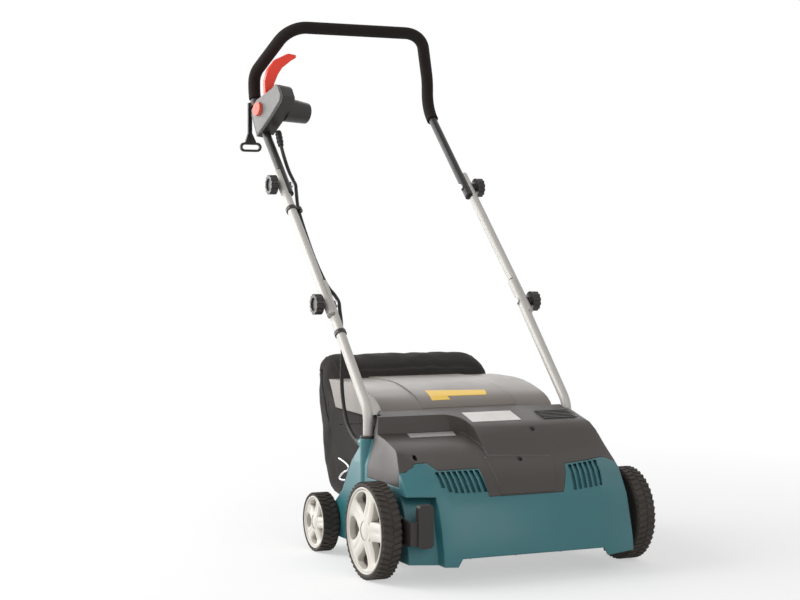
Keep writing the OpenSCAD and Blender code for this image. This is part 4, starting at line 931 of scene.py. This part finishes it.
def bag_form():
    """Rows of cloth points across the machine, their map, the end rings and the open length."""
    cloth = eased(BAG_LINE, steps=5)
    hem = [cloth[-1] + (cloth[0] - cloth[-1]) * k / HEM_STEPS for k in range(1, HEM_STEPS)]
    loop = np.vstack([cloth, hem])
    run = np.concatenate([[0], np.cumsum(np.linalg.norm(np.diff(loop, axis=0), axis=1))])
    along = np.roll(loop, -1, 0) - np.roll(loop, 1, 0)
    out = np.stack([-along[:, 1], along[:, 0]], 1)
    out /= np.linalg.norm(out, axis=1)[:, None]
    flat = BAG_HALF - BAG_ROUND
    bend = [BAG_HALF - BAG_ROUND * (1 - math.sin(a * math.pi / 2 / BEND_STEPS))
            for a in range(1, BEND_STEPS + 1)]
    columns = [-x for x in reversed(bend)] + list(np.linspace(-flat, flat, FLAT_COLUMNS)) + bend
    n = len(loop)
    free = np.array([0.25 + 0.75 * slack(y) for y in loop[:, 0]])
    rows, sheet = [], []
    for x in columns:
        over = max(0.0, (abs(x) - flat) / BAG_ROUND)
        drop = BAG_ROUND * (1 - math.sqrt(max(0.0, 1 - over * over)))
        rows.append(np.column_stack([np.full(n, x), loop - out * drop * free[:, None]]))
        sheet.append(np.column_stack([np.full(n, x), run]))
    caps = []
    for edge, side in ((0, -1), (-1, 1)):
        rim = rows[edge][:, 1:]
        for share in BAG_RINGS:
            ring = BAG_HEART + (rim - BAG_HEART) * share
            caps.append((side, np.column_stack([np.full(n, side * BAG_HALF), ring])))
    return rows, sheet, caps, len(cloth)


def sagged(points):
    """Cloth points moved as a half-empty collector hangs: swollen, folded and slack on top."""
    moved = []
    for x, y, z in points:
        free = slack(y)
        wide = min(1.0, abs(x) / BAG_HALF)
        away = np.array([x * 0.35, y - BAG_HEART[0], z - BAG_HEART[1]])
        away /= np.linalg.norm(away) + 1e-9
        swell = 5.5 * (1 - wide ** 6) * free
        folds = (3.4 * fold(x, y * 0.5, z * 0.35, 46) + 1.8 * fold(x + 300, y, z * 0.8, 24)
                 + 0.8 * fold(x, y + 90, z, 11))
        crease = (-3.2 * math.exp(-((z - 300 + 0.18 * x) / 14) ** 2)
                  - 2.6 * math.exp(-((z - 205 - 0.1 * x) / 20) ** 2))
        push = swell + free * (folds + crease * (0.6 + 0.4 * fold(x, 0, z, 80)))
        p = np.array([x, y, z]) + away * push
        if abs(x) > BAG_HALF - 2:
            middle = ramp(-z, -330, 60) * ramp(z, 95, 60)
            p[0] += math.copysign(1, x) * free * (5 * middle + 2.6 * fold(0, y, z * 0.6, 40))
        if z > 330:
            p[2] -= (3.0 * (1 - wide ** 3) + 1.4 * fold(x, 7, 3, 55)) * free
        p += CORNER_SLUMP * (ramp(x, 105, 67) ** 2 * ramp(z, 270, 70) * free)
        moved.append(p)
    return np.array(moved)


def stitch_mesh(name, line):
    """Stitches at an even pitch along a line of the cloth, laid by geometry nodes."""
    path = bpy.data.meshes.new(name + "_path")
    path.from_pydata([tuple(at(*q)) for q in line], [(i, i + 1) for i in range(len(line) - 1)], [])
    p = Pattern(name, path, Pitch=0.0052, Length=0.0034, Thickness=0.0011)
    curve = p.add("GeometryNodeMeshToCurve", {"Mesh": p.given["Base"]})
    even = p.add("GeometryNodeResampleCurve", {"Curve": curve, "Length": p.given["Pitch"]},
                 mode="LENGTH")
    along = p.add("FunctionNodeAlignRotationToVector",
                  {"Vector": p.add("GeometryNodeInputTangent", {})}, axis="X")
    size = p.vector(p.given["Length"], p.given["Thickness"], p.given["Thickness"])
    stitch = p.add("GeometryNodeMeshCube", {"Size": size})
    return p.mesh(p.repeat(even, stitch, along), "seam_thread")


class DETHATCHER_OT_collector(bpy.types.Operator):
    """Collector of sagging cloth on its wire frame"""
    bl_idname = "dethatcher.collector"
    bl_label = "Collector"

    def execute(self, context):
        refined("bag_frame", edge=0.3)
        rows, sheet, caps, cloth = bag_form()
        n = len(rows[0])
        last_row = len(rows) - 1
        points = [p for row in rows for p in row]
        spots = [q for row in sheet for q in row]
        faces = grid(last_row, cloth - 1, n)
        for side in (-1, 1):
            last = 0 if side < 0 else last_row * n
            for ring in (c for s, c in caps if s == side):
                first = len(points)
                points += list(ring)
                spots += [(q[1], q[2]) for q in ring]
                faces += [(last + k, last + (k + 1) % n, first + (k + 1) % n, first + k)
                          for k in range(n)]
                last = first
            faces.append(tuple(last + k for k in range(n)))
        moved = sagged(points)
        mesh = bpy.data.meshes.new("collector_cloth")
        mesh.from_pydata([tuple(at(*p)) for p in moved], [], faces)
        cut = mesh.uv_layers.new(name="Cloth")
        for loop in mesh.loops:
            cut.data[loop.index].uv = [c / 1000 for c in spots[loop.vertex_index]]
        settle(mesh, smooth=60)
        made = piece("collector_cloth", mesh, "bag_fabric", "collector", ["bag_cloth"])
        wall = made.modifiers.new("Cloth wall", "SOLIDIFY")
        wall.thickness = CLOTH_THICK
        wall.offset = -1
        for hand, column in (("left", SEAM_COLUMN), ("right", last_row - SEAM_COLUMN)):
            name = "seam_" + hand
            line = moved[column * n + SEAM_FROM:column * n + cloth - 2]
            piece(name, stitch_mesh(name, line), "bag_fabric", "collector", finish="seam_thread")
        wire = [at(HOOK_X, *p) for p in eased(HOOK_LINE, steps=6)]
        hook = tube_mesh("frame_hook", wire, HOOK_RADIUS, sides=10)
        piece("frame_hook", hook, "bright_steel", "collector")
        return {"FINISHED"}


# Stage


FLOOR_HALF = 30.0
LAMP_TARGET = Vector((0, 0, 0.3))
LAMPS = (("key_light", (-2.7, 1.1, 2.2), 2.2, 92), ("front_light", (0.2, -3.2, 1.9), 2.4, 26),
         ("rear_light", (-1.7, 3.0, 0.8), 2.0, 46), ("right_light", (1.6, 2.8, 2.0), 2.0, 15))
WORLD_LIGHT, WORLD_SEEN = 0.36, 1.0
CAMERA_AT = (-1.5009, -3.1523, 0.6210)
CAMERA_TURN, CAMERA_TILT, CAMERA_ROLL = -24.6, 87.6, 0.28
LENS, SENSOR = 79.59, 36


class DETHATCHER_OT_stage(bpy.types.Operator):
    """Pale floor, soft studio light and the camera"""
    bl_idname = "dethatcher.stage"
    bl_label = "Stage"

    def execute(self, context):
        scene = context.scene
        scene.view_settings.view_transform = "Standard"
        self.floor(scene)
        self.world(scene)
        for lamp in LAMPS:
            self.lamp(scene, *lamp)
        self.camera(scene)
        return {"FINISHED"}

    def floor(self, scene):
        """Paper that fades to white away from the part, and is clear from below."""
        corners = box((-FLOOR_HALF, FLOOR_HALF), (-FLOOR_HALF, FLOOR_HALF))
        mesh = mesh_of("studio_floor", [(x, y, 0) for x, y in corners], [(0, 1, 2, 3)])
        made = bpy.data.objects.new("studio_floor", mesh)
        scene.collection.objects.link(made)
        f = Finish("floor_paper", (0.93, 0.93, 0.93), 0.9)
        grain = f.level(f.noise(60, 3), 0, 1)
        f.link("Base Color", f.mix(grain, (0.92, 0.92, 0.92), (0.94, 0.94, 0.94)))
        far = f.add("VectorMath", {0: f.place}, operation="LENGTH").outputs["Value"]
        fade = f.level(far, 0.5, 1.0, start=0.5, end=1.7)
        share = f.add("Math", {0: seen_share(f.tree), 1: fade}, operation="MULTIPLY").outputs[0]
        white = f.add("Emission", {"Color": WHITE, "Strength": 1.0}).outputs[0]
        paper = f.add("MixShader", {0: share, 1: f.shader.outputs[0], 2: white}).outputs[0]
        below = f.add("NewGeometry", {}).outputs["Backfacing"]
        clear = f.add("BsdfTransparent", {}).outputs[0]
        either = f.add("MixShader", {0: below, 1: paper, 2: clear}).outputs[0]
        f.tree.links.new(either, f.tree.nodes["Material Output"].inputs["Surface"])
        mesh.materials.append(f.material)

    def world(self, scene):
        """White backdrop that lights the part less than it shows."""
        scene.world = bpy.data.worlds.new("studio_light")
        scene.world.use_nodes = True
        tree = scene.world.node_tree
        tree.nodes.clear()
        light, shown = (
            add_node(tree, "ShaderNodeBackground", {"Color": WHITE, "Strength": power}).outputs[0]
            for power in (WORLD_LIGHT, WORLD_SEEN))
        mixed = add_node(tree, "ShaderNodeMixShader", {0: seen_share(tree), 1: light, 2: shown})
        add_node(tree, "ShaderNodeOutputWorld", {"Surface": mixed.outputs[0]})

    def lamp(self, scene, name, place, size, power):
        light = bpy.data.lights.new(name, "AREA")
        light.size = size
        light.energy = power
        made = bpy.data.objects.new(name, light)
        made.location = place
        made.rotation_euler = (LAMP_TARGET - Vector(place)).to_track_quat("-Z", "Y").to_euler()
        scene.collection.objects.link(made)

    def camera(self, scene):
        """Camera solved from the photo."""
        data = bpy.data.cameras.new("photo_camera")
        data.lens = LENS
        data.sensor_width = SENSOR
        data.clip_end = 200
        made = bpy.data.objects.new("photo_camera", data)
        turn = Matrix.Identity(4)
        for angle, axis in ((CAMERA_TURN, "Z"), (CAMERA_TILT, "X"), (CAMERA_ROLL, "Z")):
            turn = turn @ Matrix.Rotation(math.radians(angle), 4, axis)
        made.matrix_world = Matrix.Translation(CAMERA_AT) @ turn
        scene.collection.objects.link(made)
        scene.camera = made


class DETHATCHER_PT_pieces(bpy.types.Panel):
    """Lists the pieces and their looks"""
    bl_label = "Lawn dethatcher"
    bl_idname = "DETHATCHER_PT_pieces"
    bl_space_type = "VIEW_3D"
    bl_region_type = "UI"
    bl_category = "Dethatcher"

    def draw(self, context):
        for operator in OPERATORS:
            self.layout.operator(operator.bl_idname)
        for name in DethatcherLooks.__annotations__:
            self.layout.prop(context.scene.dethatcher_looks, name)


OPERATORS = (DETHATCHER_OT_stage, DETHATCHER_OT_cable, DETHATCHER_OT_housing, DETHATCHER_OT_drive,
             DETHATCHER_OT_depth_setting, DETHATCHER_OT_wheels, DETHATCHER_OT_flap,
             DETHATCHER_OT_handle, DETHATCHER_OT_controls, DETHATCHER_OT_collector)
CLASSES = (DethatcherLooks, *OPERATORS, DETHATCHER_PT_pieces)


def register():
    for kind in CLASSES:
        bpy.utils.register_class(kind)
    bpy.types.Scene.dethatcher_looks = bpy.props.PointerProperty(type=DethatcherLooks)


def unregister():
    del bpy.types.Scene.dethatcher_looks
    for kind in reversed(CLASSES):
        bpy.utils.unregister_class(kind)


def main():
    register()
    FINISHES.update(make_finishes(look()))
    for operator in OPERATORS:
        group, name = operator.bl_idname.split(".")
        getattr(getattr(bpy.ops, group), name)()


if __name__ == "__main__":
    main()
